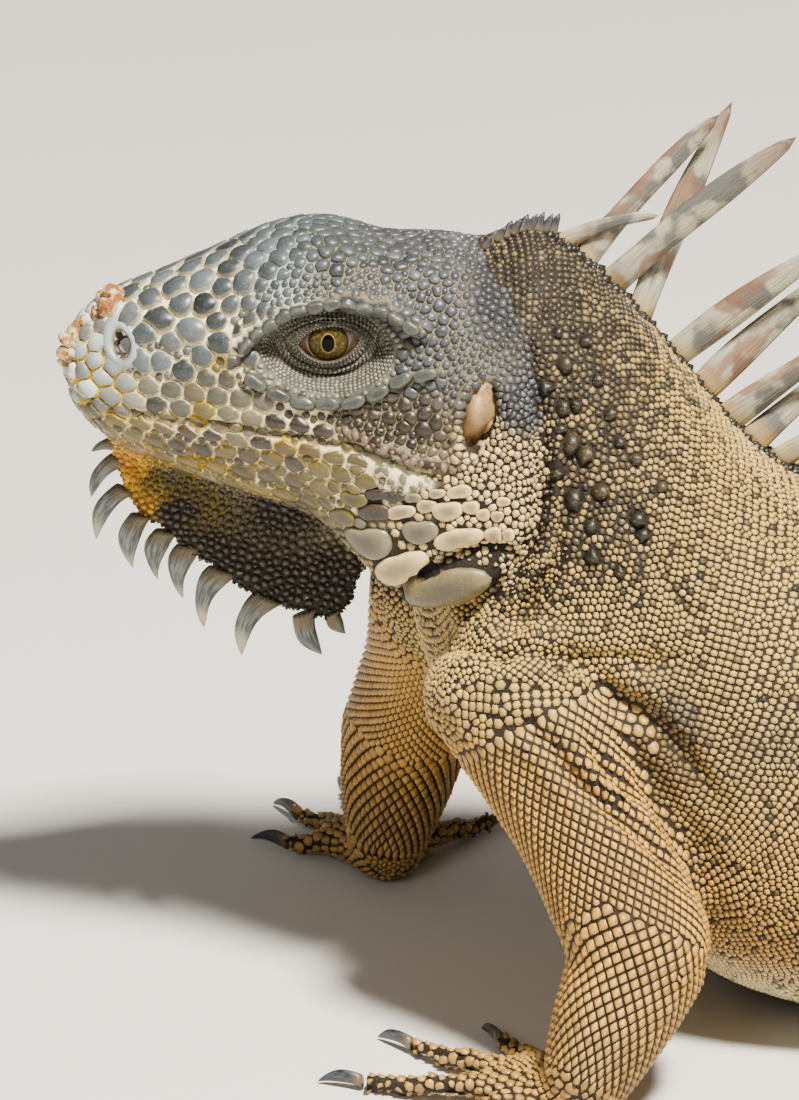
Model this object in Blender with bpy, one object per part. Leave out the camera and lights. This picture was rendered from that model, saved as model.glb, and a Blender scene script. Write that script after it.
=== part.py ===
"""Green iguana, a big adult male, life size, lying with its chest propped on its arms.

The animal faces -Y, its left side is +X and +Z is up.  The origin is the middle of the flat
of its belly, on the floor.  All lengths below are millimetres, and MM turns them into metres.
"""
import math

import bmesh
import bpy
import numpy as np
from mathutils import Matrix, Vector

MM = 0.001
GAP = 0.3                     # room left between two pieces that touch

# ---------------------------------------------------------------- head, in its own axes
HEAD_PLACE = (0.0, -183.1, 149.2)     # where the head's own zero lies: between the ear drums
HEAD_TURN = math.radians(-11.0)       # the snout points this much to the animal's right
SNOUT = 88.0                          # from the ear drums forward to the snout's tip

# One row for each cross-section, from the snout back: its place along the head, the height
# of the crown line, half width and height at crown, brow, cheek, lip, jaw and jaw edge, and
# the height of the chin line.
HEAD_SECTIONS = (
    (-87.6, 1.4, 1.8, 1.0, 3.0, 0.2, 3.4, -1.2, 3.4, -2.6, 2.8, -4.2, 1.6, -5.4, -5.8),
    (-86.0, 5.4, 3.4, 4.8, 5.6, 2.6, 6.8, -1.0, 7.2, -4.6, 6.0, -7.4, 3.4, -9.6, -10.2),
    (-82.0, 9.8, 4.2, 9.2, 7.4, 6.0, 9.6, 0.8, 10.4, -5.6, 9.0, -11.0, 5.2, -15.4, -16.4),
    (-76.0, 13.0, 4.8, 12.4, 8.8, 9.2, 11.6, 3.2, 13.2, -6.2, 11.8, -13.2, 6.8, -19.2, -20.8),
    (-67.0, 16.6, 5.8, 15.8, 10.4, 12.6, 13.8, 5.4, 16.0, -6.4, 14.6, -14.6, 8.8, -22.0, -24.0),
    (-56.0, 21.0, 7.2, 20.0, 12.6, 15.6, 16.4, 6.8, 19.2, -6.8, 17.8, -16.4, 10.8, -25.4, -28.0),
    (-44.0, 25.9, 9.6, 24.7, 16.0, 17.8, 17.6, 8.6, 21.8, -7.4, 20.6, -18.4, 13.0, -29.2, -32.0),
    (-32.0, 27.5, 11.2, 26.1, 17.6, 18.8, 18.2, 9.0, 24.2, -8.8, 23.6, -20.8, 15.6, -33.0, -35.4),
    (-26.0, 26.2, 11.4, 24.8, 17.9, 18.2, 19.4, 8.2, 25.3, -9.9, 25.4, -22.8, 18.8, -39.4, -37.2),
    (-20.0, 24.6, 11.6, 23.2, 18.2, 17.6, 20.6, 7.4, 26.4, -11.0, 27.2, -24.8, 21.6, -45.4, -38.2),
    (-8.0, 24.4, 11.2, 23.0, 18.4, 16.0, 24.2, 4.4, 28.8, -13.4, 31.2, -27.4, 25.4, -47.8, -38.2),
    (3.0, 21.8, 11.0, 20.4, 18.4, 13.8, 26.6, 2.0, 30.6, -12.6, 33.0, -26.0, 26.2, -43.6, -35.6),
    (11.0, 17.8, 10.0, 16.4, 17.0, 10.6, 25.4, 0.0, 29.6, -12.4, 31.2, -25.4, 23.0, -39.4, -32.0),
    (16.0, 9.0, 6.4, 8.0, 11.4, 4.0, 17.4, -4.0, 20.4, -12.6, 21.0, -22.4, 14.6, -31.6, -26.0),
)
HEAD_RINGS = 17
HALVED = (1, 2, 3, 4, 9, 10, 11, 12)  # sides of a cross-section that get a point halfway
MOUTH_LINE = ((-95.0, -6.0), (-85.0, -7.0), (-78.0, -8.9), (-57.0, -9.6), (-41.0, -10.4),
              (-26.0, -12.4), (-8.0, -17.6), (4.0, -22.0), (24.0, -27.0))

EYE_PLACE = (10.6, -31.6, 8.4)
EYE_RADIUS = 8.4
ORBIT = (4.2, 9.6, 6.6)               # half sizes of the hollow that the lids fill
ORBIT_OUT = 20.6
EAR_PLACE = (25.0, -0.2, -4.5)
EAR_SIZE = (3.2, 7.2)                 # half width and half height of the ear drum
EAR_LEAN = math.radians(14.0)
EAR_THICK = 1.2
NOSTRIL_PLACE = (11.8, -74.7, 4.9)
NOSTRIL_SIZE = (2.6, 1.3, 2.4)

# The dewlap's hem and the places where it leaves the jaw: along the head, height.
DEWLAP_HEM = ((-79.5, -21.0), (-77.5, -29.0), (-74.3, -36.4), (-69.0, -41.0), (-64.9, -44.2),
              (-59.0, -48.8), (-50.4, -55.9), (-41.9, -59.8), (-33.0, -62.0), (-27.5, -60.0),
              (-24.5, -52.0), (-20.0, -43.0), (-15.0, -36.0))
DEWLAP_TOP = 6.0                      # how far it reaches up into the jaw before it is cut
DEWLAP_THICK = (2.6, 1.1)             # half thickness at the jaw and at the hem
DEWLAP_SAMPLES = 10                   # cross-sections along it
DEWLAP_SET_BACK = 4.0                 # how far its front root stands behind its front edge
DEWLAP_ROOT = 2.2                     # how deep its spikes are rooted
# Spikes under the chin: place on the hem, length, forward lean in degrees, half width.
DEWLAP_SPIKES = ((-78.6, -22.0, 4.5, 78.0, 1.3), (-77.5, -26.4, 9.4, 40.0, 1.7),
                 (-76.2, -33.2, 12.0, 33.0, 1.9), (-72.4, -39.4, 11.0, 13.0, 2.1),
                 (-67.2, -43.0, 10.0, 14.0, 2.0), (-62.2, -46.4, 10.9, 11.0, 2.1),
                 (-55.4, -51.8, 12.6, 22.0, 2.3), (-46.0, -58.0, 13.2, 28.0, 2.4),
                 (-36.8, -61.4, 9.1, -16.0, 2.3), (-30.6, -61.4, 4.2, -26.0, 1.6))

# ---------------------------------------------------------------- neck, trunk, tail
# Each row is a cross-section: the top's Y and Z, the bottom's Y and Z, the half width, and
# how square it is (2 is an ellipse).
BODY_SECTIONS = (
    (-188.0, 167.0, -186.0, 114.0, 20.0, 2.0),
    (-181.0, 173.5, -190.0, 107.0, 25.0, 2.0),
    (-172.0, 176.0, -195.0, 99.0, 28.5, 2.0),
    (-163.0, 171.5, -197.0, 92.0, 31.0, 2.0),
    (-152.0, 160.0, -196.0, 82.0, 35.0, 2.1),
    (-141.0, 146.5, -190.0, 68.0, 40.0, 2.2),
    (-129.0, 131.0, -177.0, 50.0, 45.0, 2.2),
    (-115.0, 119.0, -159.0, 29.0, 51.0, 2.2),
    (-97.0, 113.0, -137.0, 10.0, 57.0, 2.3),
    (-75.0, 112.0, -107.0, -0.6, 62.0, 2.4),
    (-40.0, 115.0, -60.0, -2.4, 66.0, 2.4),
    (0.0, 117.0, 0.0, -2.4, 67.0, 2.4),
    (45.0, 112.0, 45.0, -2.4, 62.0, 2.3),
    (80.0, 100.0, 80.0, -2.0, 52.0, 2.2),
    (108.0, 84.0, 106.0, 0.6, 40.0, 2.1),
    (130.0, 71.0, 127.0, 3.0, 30.0, 2.0),
    (150.0, 61.0, 147.0, 0.0, 24.0, 2.0),
)
BODY_SAG = 0.08                       # how much wider the lower half is than the upper
BODY_ROUND = 18                       # corners round a cross-section
NECK_END = 5.0                        # parting places, as rows of the table above
CHEST_END = 10.0
BODY_LAST = float(len(BODY_SECTIONS) - 1)
NECK_RINGS, CHEST_RINGS, BELLY_RINGS = 8, 7, 8

TAIL_LENGTH = 850.0
TAIL_SWING = 0.42                     # greatest turn of the tail's course, in radians
TAIL_WAVES = 0.92                     # how many bends that course makes
# Place along the tail as a share of its length, half width, full height.
TAIL_SECTIONS = ((0.0, 24.0, 61.0), (0.08, 19.5, 53.0), (0.2, 14.5, 42.0), (0.4, 9.6, 28.0),
                 (0.6, 6.2, 18.5), (0.8, 3.6, 10.5), (0.94, 1.9, 5.2), (1.0, 0.8, 2.2))
TAIL_NODES = 5
TAIL_HELD = 0.36                      # how far short of a parting its last full ring stands
TAIL_START = 1.8                      # how far behind the trunk the tail begins
TAIL_RINGS = 5                        # rings in each length of tail
TAIL_ROUND = 10
TAIL_SINK = 0.5                       # how far the tail is let into the floor before it is cut

# Crest: share along the crest's run (0 nape, 1 end of the trunk), spine length, half width.
CREST_START, CREST_END = 1.2, 15.6
CREST_SIZES = ((0.0, 2.6, 1.2), (0.1, 4.8, 1.7), (0.42, 32.0, 3.0), (0.65, 20.0, 2.7),
               (0.85, 13.0, 2.5), (1.0, 9.0, 2.3))
CREST_SPACE = 1.42                    # distance between spines, as a share of their width
CREST_LEAN = ((0.0, 36.0), (0.1, 36.0), (0.42, 34.0), (1.0, 46.0))
# The long spines of neck and shoulders: root's Y and Z, tip's Y, Z and X, half width.
FRONT_SPINES = ((-166.0, 171.5, -146.2, 178.0, 3.0, 2.2), (-161.5, 168.0, -132.5, 197.3, -3.0, 3.0),
                (-155.8, 162.0, -118.4, 195.2, 8.0, 3.6), (-149.0, 156.0, -128.3, 198.0, -9.0, 3.2),
                (-141.0, 146.0, -105.0, 172.5, 5.0, 3.4), (-134.5, 138.5, -100.0, 165.5, -4.0, 3.2),
                (-129.0, 131.0, -97.5, 154.0, 6.0, 3.2), (-123.5, 125.8, -93.0, 146.0, -6.0, 3.0),
                (-117.5, 121.0, -86.0, 139.5, 4.0, 2.9))
FRONT_ROOM = (0.25, 0.55)             # rows of the table left free before and after them
FRONT_BEND = 0.04
CREST_THICK = 0.85                    # half thickness of a spine at its root
CREST_ROOT = 2.4                      # how deep a spine is rooted
CREST_BEND = 0.28
CREST_SIDE = (7.0, -9.0, 13.0, -6.0, 4.0, -12.0, 9.0)   # sideways lean in degrees, in turn
TAIL_CREST_END = 0.55                 # share of the tail that carries low crest spines
TAIL_CREST_PACE = 15.0
TAIL_CREST_SIZE = (6.5, 1.6)          # their length where the tail starts and where they end
TAIL_CREST_MARGIN = 0.006             # share of the tail left free of them beside a parting
TAIL_CREST_ROOT = 1.6                 # how deep they are rooted
TAIL_CREST_LEAN = 0.9
TAIL_CREST_HALVES = (2.6, 0.8)        # half width and half thickness

# ---------------------------------------------------------------- legs
# Each leg: joints from the body outward.  Each piece: radius at its start, middle and end.
ARM_JOINTS = {
    "left": ((29.0, -183.0, 88.0), (58.0, -159.0, 36.0), (66.0, -173.0, 12.0)),
    "right": ((-29.0, -183.0, 86.0), (-64.0, -188.0, 34.0), (-60.0, -193.0, 12.0)),
}
LEG_JOINTS = {
    "left": ((34.0, 84.0, 48.0), (92.0, 47.0, 40.0), (86.0, 108.0, 13.0)),
    "right": ((-34.0, 84.0, 48.0), (-90.0, 62.0, 38.0), (-82.0, 125.0, 13.0)),
}
ARM_SIZES = ((20.0, 15.6, 15.8), (15.0, 13.6, 10.0))
LEG_SIZES = ((25.0, 22.0, 17.0), (16.0, 14.5, 9.5))
LIMB_ROUND = 10
PAW_ROUND = 7

# Palm: length, half width, half thickness.  Digit: length, half thickness.
PALM = (17.0, 10.5, 5.2)
SOLE = (30.0, 11.5, 5.6)
HAND_HEADING = {"left": math.radians(-50.0), "right": math.radians(-92.0)}
FOOT_HEADING = {"left": math.radians(20.0), "right": math.radians(-14.0)}
# Angle from the hand's heading towards the inner side in degrees, length, radius.
FINGERS = ((50.0, 17.0, 3.2), (26.0, 28.0, 3.3), (3.0, 37.0, 3.5), (-22.0, 38.0, 3.4), (-52.0, 25.0, 3.2))
TOES = ((46.0, 20.0, 3.4), (24.0, 34.0, 3.6), (8.0, 50.0, 3.8), (-8.0, 66.0, 4.0), (-50.0, 38.0, 3.5))
DIGIT_ROUND = 5
DIGIT_RINGS = 4
DIGIT_TIP = 0.4                       # how far a digit's end stands out, in radii
CLAW_LENGTH = {"hand": 9.5, "foot": 10.0}
CLAW_RADIUS = 1.55
CLAW_RINGS = 3
FLOOR_SINK = 0.4                      # digits are let into the floor this much, then cut flat

COLOURS = {
    "head": (0.30, 0.32, 0.33), "lower_jaw": (0.42, 0.40, 0.32), "dewlap": (0.20, 0.17, 0.12),
    "neck": (0.26, 0.24, 0.20), "trunk": (0.46, 0.38, 0.24), "tail": (0.36, 0.29, 0.19),
    "arm": (0.55, 0.42, 0.22), "leg": (0.48, 0.38, 0.22), "claw": (0.07, 0.07, 0.08),
    "eye": (0.30, 0.20, 0.06), "ear": (0.50, 0.33, 0.18),
}
ROUGHNESS = {"eye": 0.08, "claw": 0.35, "ear": 0.4}


# ---------------------------------------------------------------- scene and small helpers
def clear_scene():
    for ob in list(bpy.data.objects):
        bpy.data.objects.remove(ob, do_unlink=True)


def collection(name):
    made = bpy.data.collections.new(name)
    bpy.context.scene.collection.children.link(made)
    return made


def material(kind):
    found = bpy.data.materials.get(kind)
    if found:
        return found
    made = bpy.data.materials.new(kind)
    made.use_nodes = True
    shader = made.node_tree.nodes["Principled BSDF"]
    shader.inputs["Base Color"].default_value = (*COLOURS[kind], 1.0)
    shader.inputs["Roughness"].default_value = ROUGHNESS.get(kind, 0.6)
    shader.inputs["Metallic"].default_value = 0.0
    return made


def smooth(rows, at):
    """Reads a table whose first column is a place, along a smooth curve through its rows."""
    table = np.array(rows, float)
    place, values = table[:, 0], table[:, 1:]
    slope = np.gradient(values, place, axis=0)
    i = int(np.clip(np.searchsorted(place, at) - 1, 0, len(place) - 2))
    step = place[i + 1] - place[i]
    t = (min(max(at, place[0]), place[-1]) - place[i]) / step
    a, b = 2 * t**3 - 3 * t**2 + 1, t**3 - 2 * t**2 + t
    return a * values[i] + b * step * slope[i] + (1 - a) * values[i + 1] + (t**3 - t**2) * step * slope[i + 1]


def numbered(rows):
    return [(float(i), *row) for i, row in enumerate(rows)]


def loft(rings, tip_first=None, tip_last=None):
    """A closed mesh over rings of points, ended by flat faces or by single points."""
    bm = bmesh.new()
    loops = [[bm.verts.new(Vector(p) * MM) for p in ring] for ring in rings]
    count = len(loops[0])
    for low, high in zip(loops, loops[1:]):
        for k in range(count):
            bm.faces.new((low[k], low[(k + 1) % count], high[(k + 1) % count], high[k]))
    for tip, ring in ((tip_first, loops[0]), (tip_last, loops[-1])):
        if tip is None:
            bm.faces.new(ring)
            continue
        point = bm.verts.new(Vector(tip) * MM)
        for k in range(count):
            bm.faces.new((ring[k], ring[(k + 1) % count], point))
    bmesh.ops.recalc_face_normals(bm, faces=bm.faces)
    # Always split the same way, so that a piece and its grown copy keep an even gap.
    bmesh.ops.triangulate(bm, faces=bm.faces, quad_method="FIXED")
    return bm


def add(name, bm, home, kind=None):
    mesh = bpy.data.meshes.new(name)
    bm.to_mesh(mesh)
    bm.free()
    ob = bpy.data.objects.new(name, mesh)
    home.objects.link(ob)
    if kind:
        mesh.materials.append(material(kind))
    return ob


def cutter(name, bm):
    ob = add(name, bm, CUTTERS)
    ob.hide_render = True
    ob.display_type = "WIRE"
    return ob


def boolean(ob, other, operation):
    """Cuts ob by other, or joins other to it, and keeps the result as ob's own mesh."""
    step = ob.modifiers.new(operation.lower(), "BOOLEAN")
    step.operation = operation
    step.solver = "EXACT"
    step.object = other
    seen = ob.evaluated_get(bpy.context.evaluated_depsgraph_get())
    mesh = bpy.data.meshes.new_from_object(seen)
    ob.modifiers.clear()
    old = ob.data
    ob.data = mesh
    mesh.name = ob.name
    bpy.data.meshes.remove(old)


def cut(ob, other):
    boolean(ob, other, "DIFFERENCE")
    keep_largest(ob)


def join(ob, other):
    boolean(ob, other, "UNION")
    bpy.data.objects.remove(other, do_unlink=True)


def keep_largest(ob):
    """Drops the crumbs that a cut leaves beyond the piece that does the cutting."""
    bm = bmesh.new()
    bm.from_mesh(ob.data)
    left, bodies = set(bm.verts), []
    while left:
        body, edge = set(), [left.pop()]
        while edge:
            here = edge.pop()
            body.add(here)
            for link in here.link_edges:
                other = link.other_vert(here)
                if other in left:
                    left.discard(other)
                    edge.append(other)
        bodies.append(body)
    bodies.sort(key=len)
    bmesh.ops.delete(bm, geom=[v for body in bodies[:-1] for v in body], context="VERTS")
    bm.to_mesh(ob.data)
    bm.free()


def cut_at_floor(ob):
    """Gives a piece that lies on the floor its flats, all at height zero."""
    bm = bmesh.new()
    bm.from_mesh(ob.data)
    found = bmesh.ops.bisect_plane(bm, geom=bm.verts[:] + bm.edges[:] + bm.faces[:], dist=1e-7,
                                   plane_co=(0, 0, 0), plane_no=(0, 0, 1), clear_inner=True)
    rim = [e for e in found["geom_cut"] if isinstance(e, bmesh.types.BMEdge)]
    if rim:
        bmesh.ops.edgeloop_fill(bm, edges=rim)
    bmesh.ops.recalc_face_normals(bm, faces=bm.faces)
    bm.to_mesh(ob.data)
    bm.free()


def ellipsoid(centre, halves, across=12, up=8):
    bm = bmesh.new()
    bmesh.ops.create_uvsphere(bm, u_segments=across, v_segments=up, radius=1.0)
    bmesh.ops.transform(bm, matrix=Matrix.Diagonal((*halves, 1.0)), verts=bm.verts)
    bmesh.ops.translate(bm, verts=bm.verts, vec=centre)
    bmesh.ops.scale(bm, verts=bm.verts, vec=(MM, MM, MM))
    return bm


# ---------------------------------------------------------------- head
def to_world():
    """The matrix that takes the head's own axes to the animal's."""
    return Matrix.Translation(Vector(HEAD_PLACE) * MM) @ Matrix.Rotation(HEAD_TURN, 4, "Z")


def settle(bm):
    bmesh.ops.transform(bm, matrix=to_world(), verts=bm.verts)
    return bm


def head_ring(at, grow):
    """The head's outline across, at one place along it, as points from the crown round."""
    row = smooth(HEAD_SECTIONS, at)
    top, low = row[0], row[-1]
    side = [(row[k], row[k + 1]) for k in range(1, 13, 2)]
    outline = [(0.0, top), *side, (0.0, low), *[(-w, z) for w, z in reversed(side)]]
    middle = (top + low) / 2
    ring = []
    count = len(outline)
    for k in range(count):
        before, here, after, later = (outline[(k + j) % count] for j in (-1, 0, 1, 2))
        # A point halfway along every side, but not on the short ones at the crown and the chin.
        for t in (0.0, 0.5) if k in HALVED else (0.0,):
            point = [0.0, 0.0]
            for axis in (0, 1):
                p0, p1, p2, p3 = before[axis], here[axis], after[axis], later[axis]
                point[axis] = p1 + 0.5 * t * (p2 - p0 + t * (2 * p0 - 5 * p1 + 4 * p2 - p3
                                                             + t * (3 * (p1 - p2) + p3 - p0)))
            away = Vector((point[0], point[1] - middle))
            away = away * (1 + grow / max(away.length, 1.0))
            ring.append((away.x, at, away.y + middle))
    return ring


def whole_head(grow=0.0):
    first, last = HEAD_SECTIONS[0][0], HEAD_SECTIONS[-1][0]
    # Rings stand closer together at the snout, where the outline turns fastest.
    places = [first + (last - first) * (k / (HEAD_RINGS - 1)) ** 1.25 for k in range(HEAD_RINGS)]
    rings = [head_ring(at, grow) for at in places]
    return settle(loft(rings, tip_first=(0.0, first - 0.6 - grow, -2.0),
                       tip_last=(0.0, last + 2.5 + grow, -12.0)))


def mouth_side(shift, reach):
    """A slab below the mouth line, or above it, that takes one jaw away from the other."""
    line = [(y, float(smooth(MOUTH_LINE, y)[0]) + shift)
            for y in np.linspace(MOUTH_LINE[0][0], MOUTH_LINE[-1][0], 16)]
    outline = line + [(line[-1][0], reach), (line[0][0], reach)]
    rings = [[(x, y, z) for y, z in outline] for x in (-50.0, 50.0)]
    return settle(loft(rings))


def make_head(home):
    head = add("head", whole_head(), home, "head")
    jaw = add("lower_jaw", whole_head(), home, "lower_jaw")
    cut(head, cutter("below_mouth", mouth_side(0.0, -80.0)))
    cut(jaw, cutter("above_mouth", mouth_side(-GAP, 60.0)))
    for side, name in ((1, "left"), (-1, "right")):
        x, y, z = EYE_PLACE
        socket = ellipsoid((side * x, y, z), [EYE_RADIUS + GAP] * 3, 12, 8)
        cut(head, cutter(f"socket_{name}", settle(socket)))
        orbit = ellipsoid((side * ORBIT_OUT, y, z), ORBIT, 10, 6)
        cut(head, cutter(f"orbit_{name}", settle(orbit)))
        eye = ellipsoid((side * x, y, z), [EYE_RADIUS] * 3)
        add(f"eye_{name}", settle(eye), home, "eye")
        cut(head, cutter(f"ear_hollow_{name}", ear_disc(side, GAP, 12.0)))
        add(f"ear_{name}", ear_disc(side, 0.0, EAR_THICK), home, "ear")
        x, y, z = NOSTRIL_PLACE
        nostril = ellipsoid((side * x, y, z), NOSTRIL_SIZE, 8, 5)
        cut(head, cutter(f"nostril_{name}", settle(nostril)))
    return head, jaw


def ear_disc(side, grow, thick):
    """The ear drum, or the hollow for it: an upright oval plate that faces sideways."""
    x, y, z = EAR_PLACE
    rings = []
    for out in (x - grow, x + thick):
        ring = []
        for k in range(10):
            turn = 2 * math.pi * k / 10
            across = (EAR_SIZE[0] + grow) * math.cos(turn)
            up = (EAR_SIZE[1] + grow) * math.sin(turn)
            ring.append((side * out, y + across * math.cos(EAR_LEAN) + up * math.sin(EAR_LEAN),
                         z - across * math.sin(EAR_LEAN) + up * math.cos(EAR_LEAN)))
        rings.append(ring)
    return settle(loft(rings))


# ---------------------------------------------------------------- spikes and spines
def blade(root, along, across, length, half_width, half_thick, bend, rings=5, sides=4):
    """A curved spike: it leaves its root along one way and bends towards another."""
    along, across = Vector(along).normalized(), Vector(across).normalized()
    thick = along.cross(across).normalized()
    across = thick.cross(along).normalized()
    made = []
    centre = Vector(root)
    for k in range(rings):
        t = k / rings
        width = half_width * (1 - t) ** 0.75 + 0.35 * t
        depth = max(half_thick * (1 - t) ** 0.6, 0.3)
        way = (along + across * bend * t).normalized()
        side = (across - way * across.dot(way)).normalized()
        made.append([centre + side * width * math.cos(a) + thick * depth * math.sin(a)
                     for a in (2 * math.pi * j / sides for j in range(sides))])
        centre = centre + way * length / rings
    return loft(made, tip_last=centre)


def merged(parts):
    """Several closed shapes that stand apart, as one mesh."""
    bm = bmesh.new()
    for part in parts:
        mesh = bpy.data.meshes.new("part")
        part.to_mesh(mesh)
        part.free()
        bm.from_mesh(mesh)
        bpy.data.meshes.remove(mesh)
    return bm


def make_dewlap(home):
    """The fold of skin under the chin, thin at its hem, with its row of spikes."""
    rings = []
    places = np.linspace(0.0, len(DEWLAP_HEM) - 1.0, DEWLAP_SAMPLES)
    for at in places:
        y, z = smooth(numbered(DEWLAP_HEM), float(at))
        # The fold leaves the jaw behind the place where it started, so its roots lean back.
        root_y = float(y) + DEWLAP_SET_BACK * (1 - at / places[-1])
        chin = smooth(HEAD_SECTIONS, root_y)[-1]
        root_z = max(float(chin), float(z)) + DEWLAP_TOP
        upper, hem = DEWLAP_THICK
        middle_y, middle_z = (root_y + y) / 2, (root_z + z) / 2
        rings.append([(upper, root_y, root_z), ((upper + hem) / 2, middle_y, middle_z),
                      (hem, float(y), float(z) + 0.8), (0.0, float(y), float(z)),
                      (-hem, float(y), float(z) + 0.8), (-(upper + hem) / 2, middle_y, middle_z),
                      (-upper, root_y, root_z)])
    dewlap = add("dewlap", settle(loft(rings)), home, "dewlap")
    spikes = []
    for y, z, length, lean, half_width in DEWLAP_SPIKES:
        turn = math.radians(lean)
        down = Vector((0.0, -math.sin(turn), -math.cos(turn)))
        back = Vector((0.0, -math.cos(turn), math.sin(turn)))
        root = Vector((0.0, y, z)) - down * DEWLAP_ROOT
        spikes.append(settle(blade(root, down, back, length + DEWLAP_ROOT, half_width, 1.0, 0.2, rings=2)))
    join(dewlap, add("dewlap_spikes", merged(spikes), CUTTERS))
    cut(dewlap, cutter("grown_head", whole_head(2.5 * GAP)))
    return dewlap


# ---------------------------------------------------------------- neck and trunk
def body_ring(at, grow=0.0):
    """One cross-section of neck or trunk, between its top point and its bottom point."""
    top_y, top_z, low_y, low_z, half, square = smooth(numbered(BODY_SECTIONS), at)
    top, low = Vector((0.0, top_y, top_z)), Vector((0.0, low_y, low_z))
    up = (top - low) / 2
    centre = (top + low) / 2
    tall = up.length
    up.normalize()
    ring = []
    for k in range(BODY_ROUND):
        turn = 2 * math.pi * k / BODY_ROUND
        c, s = math.cos(turn), math.sin(turn)
        power = 2.0 / square
        across = math.copysign(abs(c) ** power, c) * (half + grow) * (1 - BODY_SAG * s)
        rise = math.copysign(abs(s) ** power, s) * (tall + grow)
        ring.append(centre + up * rise + Vector((across, 0.0, 0.0)))
    return ring


def body_length(first, last, count):
    """A length of the body between two places of its table, its last ring held back by the gap."""
    rings = [body_ring(float(at)) for at in np.linspace(first, last, count)]
    centre_last = sum(rings[-1], Vector()) / BODY_ROUND
    centre_before = sum(rings[-2], Vector()) / BODY_ROUND
    back = (centre_before - centre_last).normalized() * GAP
    rings[-1] = [p + back for p in rings[-1]]
    return loft(rings)


def body_room():
    """Neck and trunk in one, grown by the gap, for cutting the legs where they join it."""
    neck_end, chest_end = parting(NECK_END), parting(CHEST_END)
    places = [*np.linspace(0.0, neck_end, NECK_RINGS), *np.linspace(neck_end, chest_end, CHEST_RINGS)[1:],
              *np.linspace(chest_end, BODY_LAST, BELLY_RINGS)[1:]]
    return loft([body_ring(float(at), GAP) for at in places])


def dorsal(at):
    row = smooth(numbered(BODY_SECTIONS), at)
    return Vector((0.0, row[0], row[1]))


def spine_rings(length):
    """Long spines need more rings to show their bend than short ones."""
    return 4 if length > 30 else 2 if length > 18 else 1


def front_places():
    """Where the long front spines stand, as places in the body's table."""
    tops = [row[0] for row in BODY_SECTIONS]
    return [float(np.interp(row[0], tops, range(len(tops)))) for row in FRONT_SPINES]


def crest_places():
    """Where the spines stand, as places in the body's table, a width and a little apart."""
    fronts = front_places()
    first, last = fronts[0] - FRONT_ROOM[0], fronts[-1] + FRONT_ROOM[1]
    places = []
    at = CREST_START
    while at < CREST_END:
        if first < at < last:
            places += fronts
            at = last
        places.append(at)
        half_width = smooth(CREST_SIZES, crest_share(at))[1]
        pace = (dorsal(at + 0.1) - dorsal(at)).length / 0.1
        at += 2 * float(half_width) * CREST_SPACE / pace
    return places


def crest_share(at):
    return (at - CREST_START) / (CREST_END - CREST_START)


def parting(near):
    """The place halfway between two spines that lies nearest to a wanted one."""
    places = crest_places()
    halfway = [(a + b) / 2 for a, b in zip(places, places[1:])]
    return min(halfway, key=lambda at: abs(at - near))


def crest_spines(first, last):
    """The crest's spines between two places of the body's table."""
    made, fronts = [], front_places()
    for order, at in enumerate(crest_places()):
        if not first < at < last:
            continue
        if at in fronts:
            root_y, root_z, tip_y, tip_z, tip_x, half_width = FRONT_SPINES[fronts.index(at)]
            tip = Vector((tip_x, tip_y, tip_z))
            along = (tip - Vector((0.0, root_y, root_z))).normalized()
            root = Vector((0.0, root_y, root_z)) - along * CREST_ROOT
            made.append(blade(root, along, (0.0, 1.0, -0.4), (tip - root).length, half_width,
                              CREST_THICK, -FRONT_BEND, rings=spine_rings((tip - root).length)))
            continue
        share = crest_share(at)
        length, half_width = (float(v) for v in smooth(CREST_SIZES, share))
        way = (dorsal(at + 0.02) - dorsal(at)).normalized()
        out = Vector((0.0, -way.z, way.y))
        tilt = math.radians(CREST_SIDE[order % len(CREST_SIDE)] * min(1.0, length / 30.0))
        turn = math.radians(float(smooth(CREST_LEAN, share)[0]))
        along = out * math.cos(turn) + way * math.sin(turn)
        along = along * math.cos(tilt) + Vector((math.sin(tilt), 0.0, 0.0))
        root = dorsal(at) - along * CREST_ROOT
        made.append(blade(root, along, way, length + CREST_ROOT, half_width,
                          CREST_THICK, CREST_BEND, rings=spine_rings(length)))
    return merged(made)


def make_body(home, head_cutter):
    neck_end, chest_end = parting(NECK_END), parting(CHEST_END)
    lengths = (("neck", 0.0, neck_end, NECK_RINGS, "neck"),
               ("trunk_front", neck_end, chest_end, CHEST_RINGS, "trunk"),
               ("trunk_rear", chest_end, BODY_LAST, BELLY_RINGS, "trunk"))
    made = []
    for name, first, last, count, kind in lengths:
        ob = add(name, body_length(first, last, count), home, kind)
        cut_at_floor(ob)
        join(ob, add(f"{name}_crest", crest_spines(first, last), CUTTERS))
        made.append(ob)
    cut(made[0], head_cutter)
    return made


# ---------------------------------------------------------------- tail
def tail_course():
    """The tail's centre line on the floor, as points and ways a short step apart."""
    steps = 200
    step = TAIL_LENGTH / steps
    here = Vector((0.0, BODY_SECTIONS[-1][0] - 1.5, 0.0))
    course = []
    for k in range(steps + 1):
        heading = TAIL_SWING * math.sin(2 * math.pi * TAIL_WAVES * k / steps)
        way = Vector((math.sin(heading), math.cos(heading), 0.0))
        course.append((here.copy(), way))
        here = here + way * step
    return course


def tail_ring(course, share):
    here, way = course[min(int(round(share * (len(course) - 1))), len(course) - 1)]
    half, tall = smooth(TAIL_SECTIONS, share)
    side = Vector((way.y, -way.x, 0.0))
    centre = here + Vector((0.0, 0.0, tall / 2 - TAIL_SINK))
    return [centre + side * half * math.cos(a) + Vector((0.0, 0.0, tall / 2 * math.sin(a)))
            for a in (2 * math.pi * k / TAIL_ROUND for k in range(TAIL_ROUND))]


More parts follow.
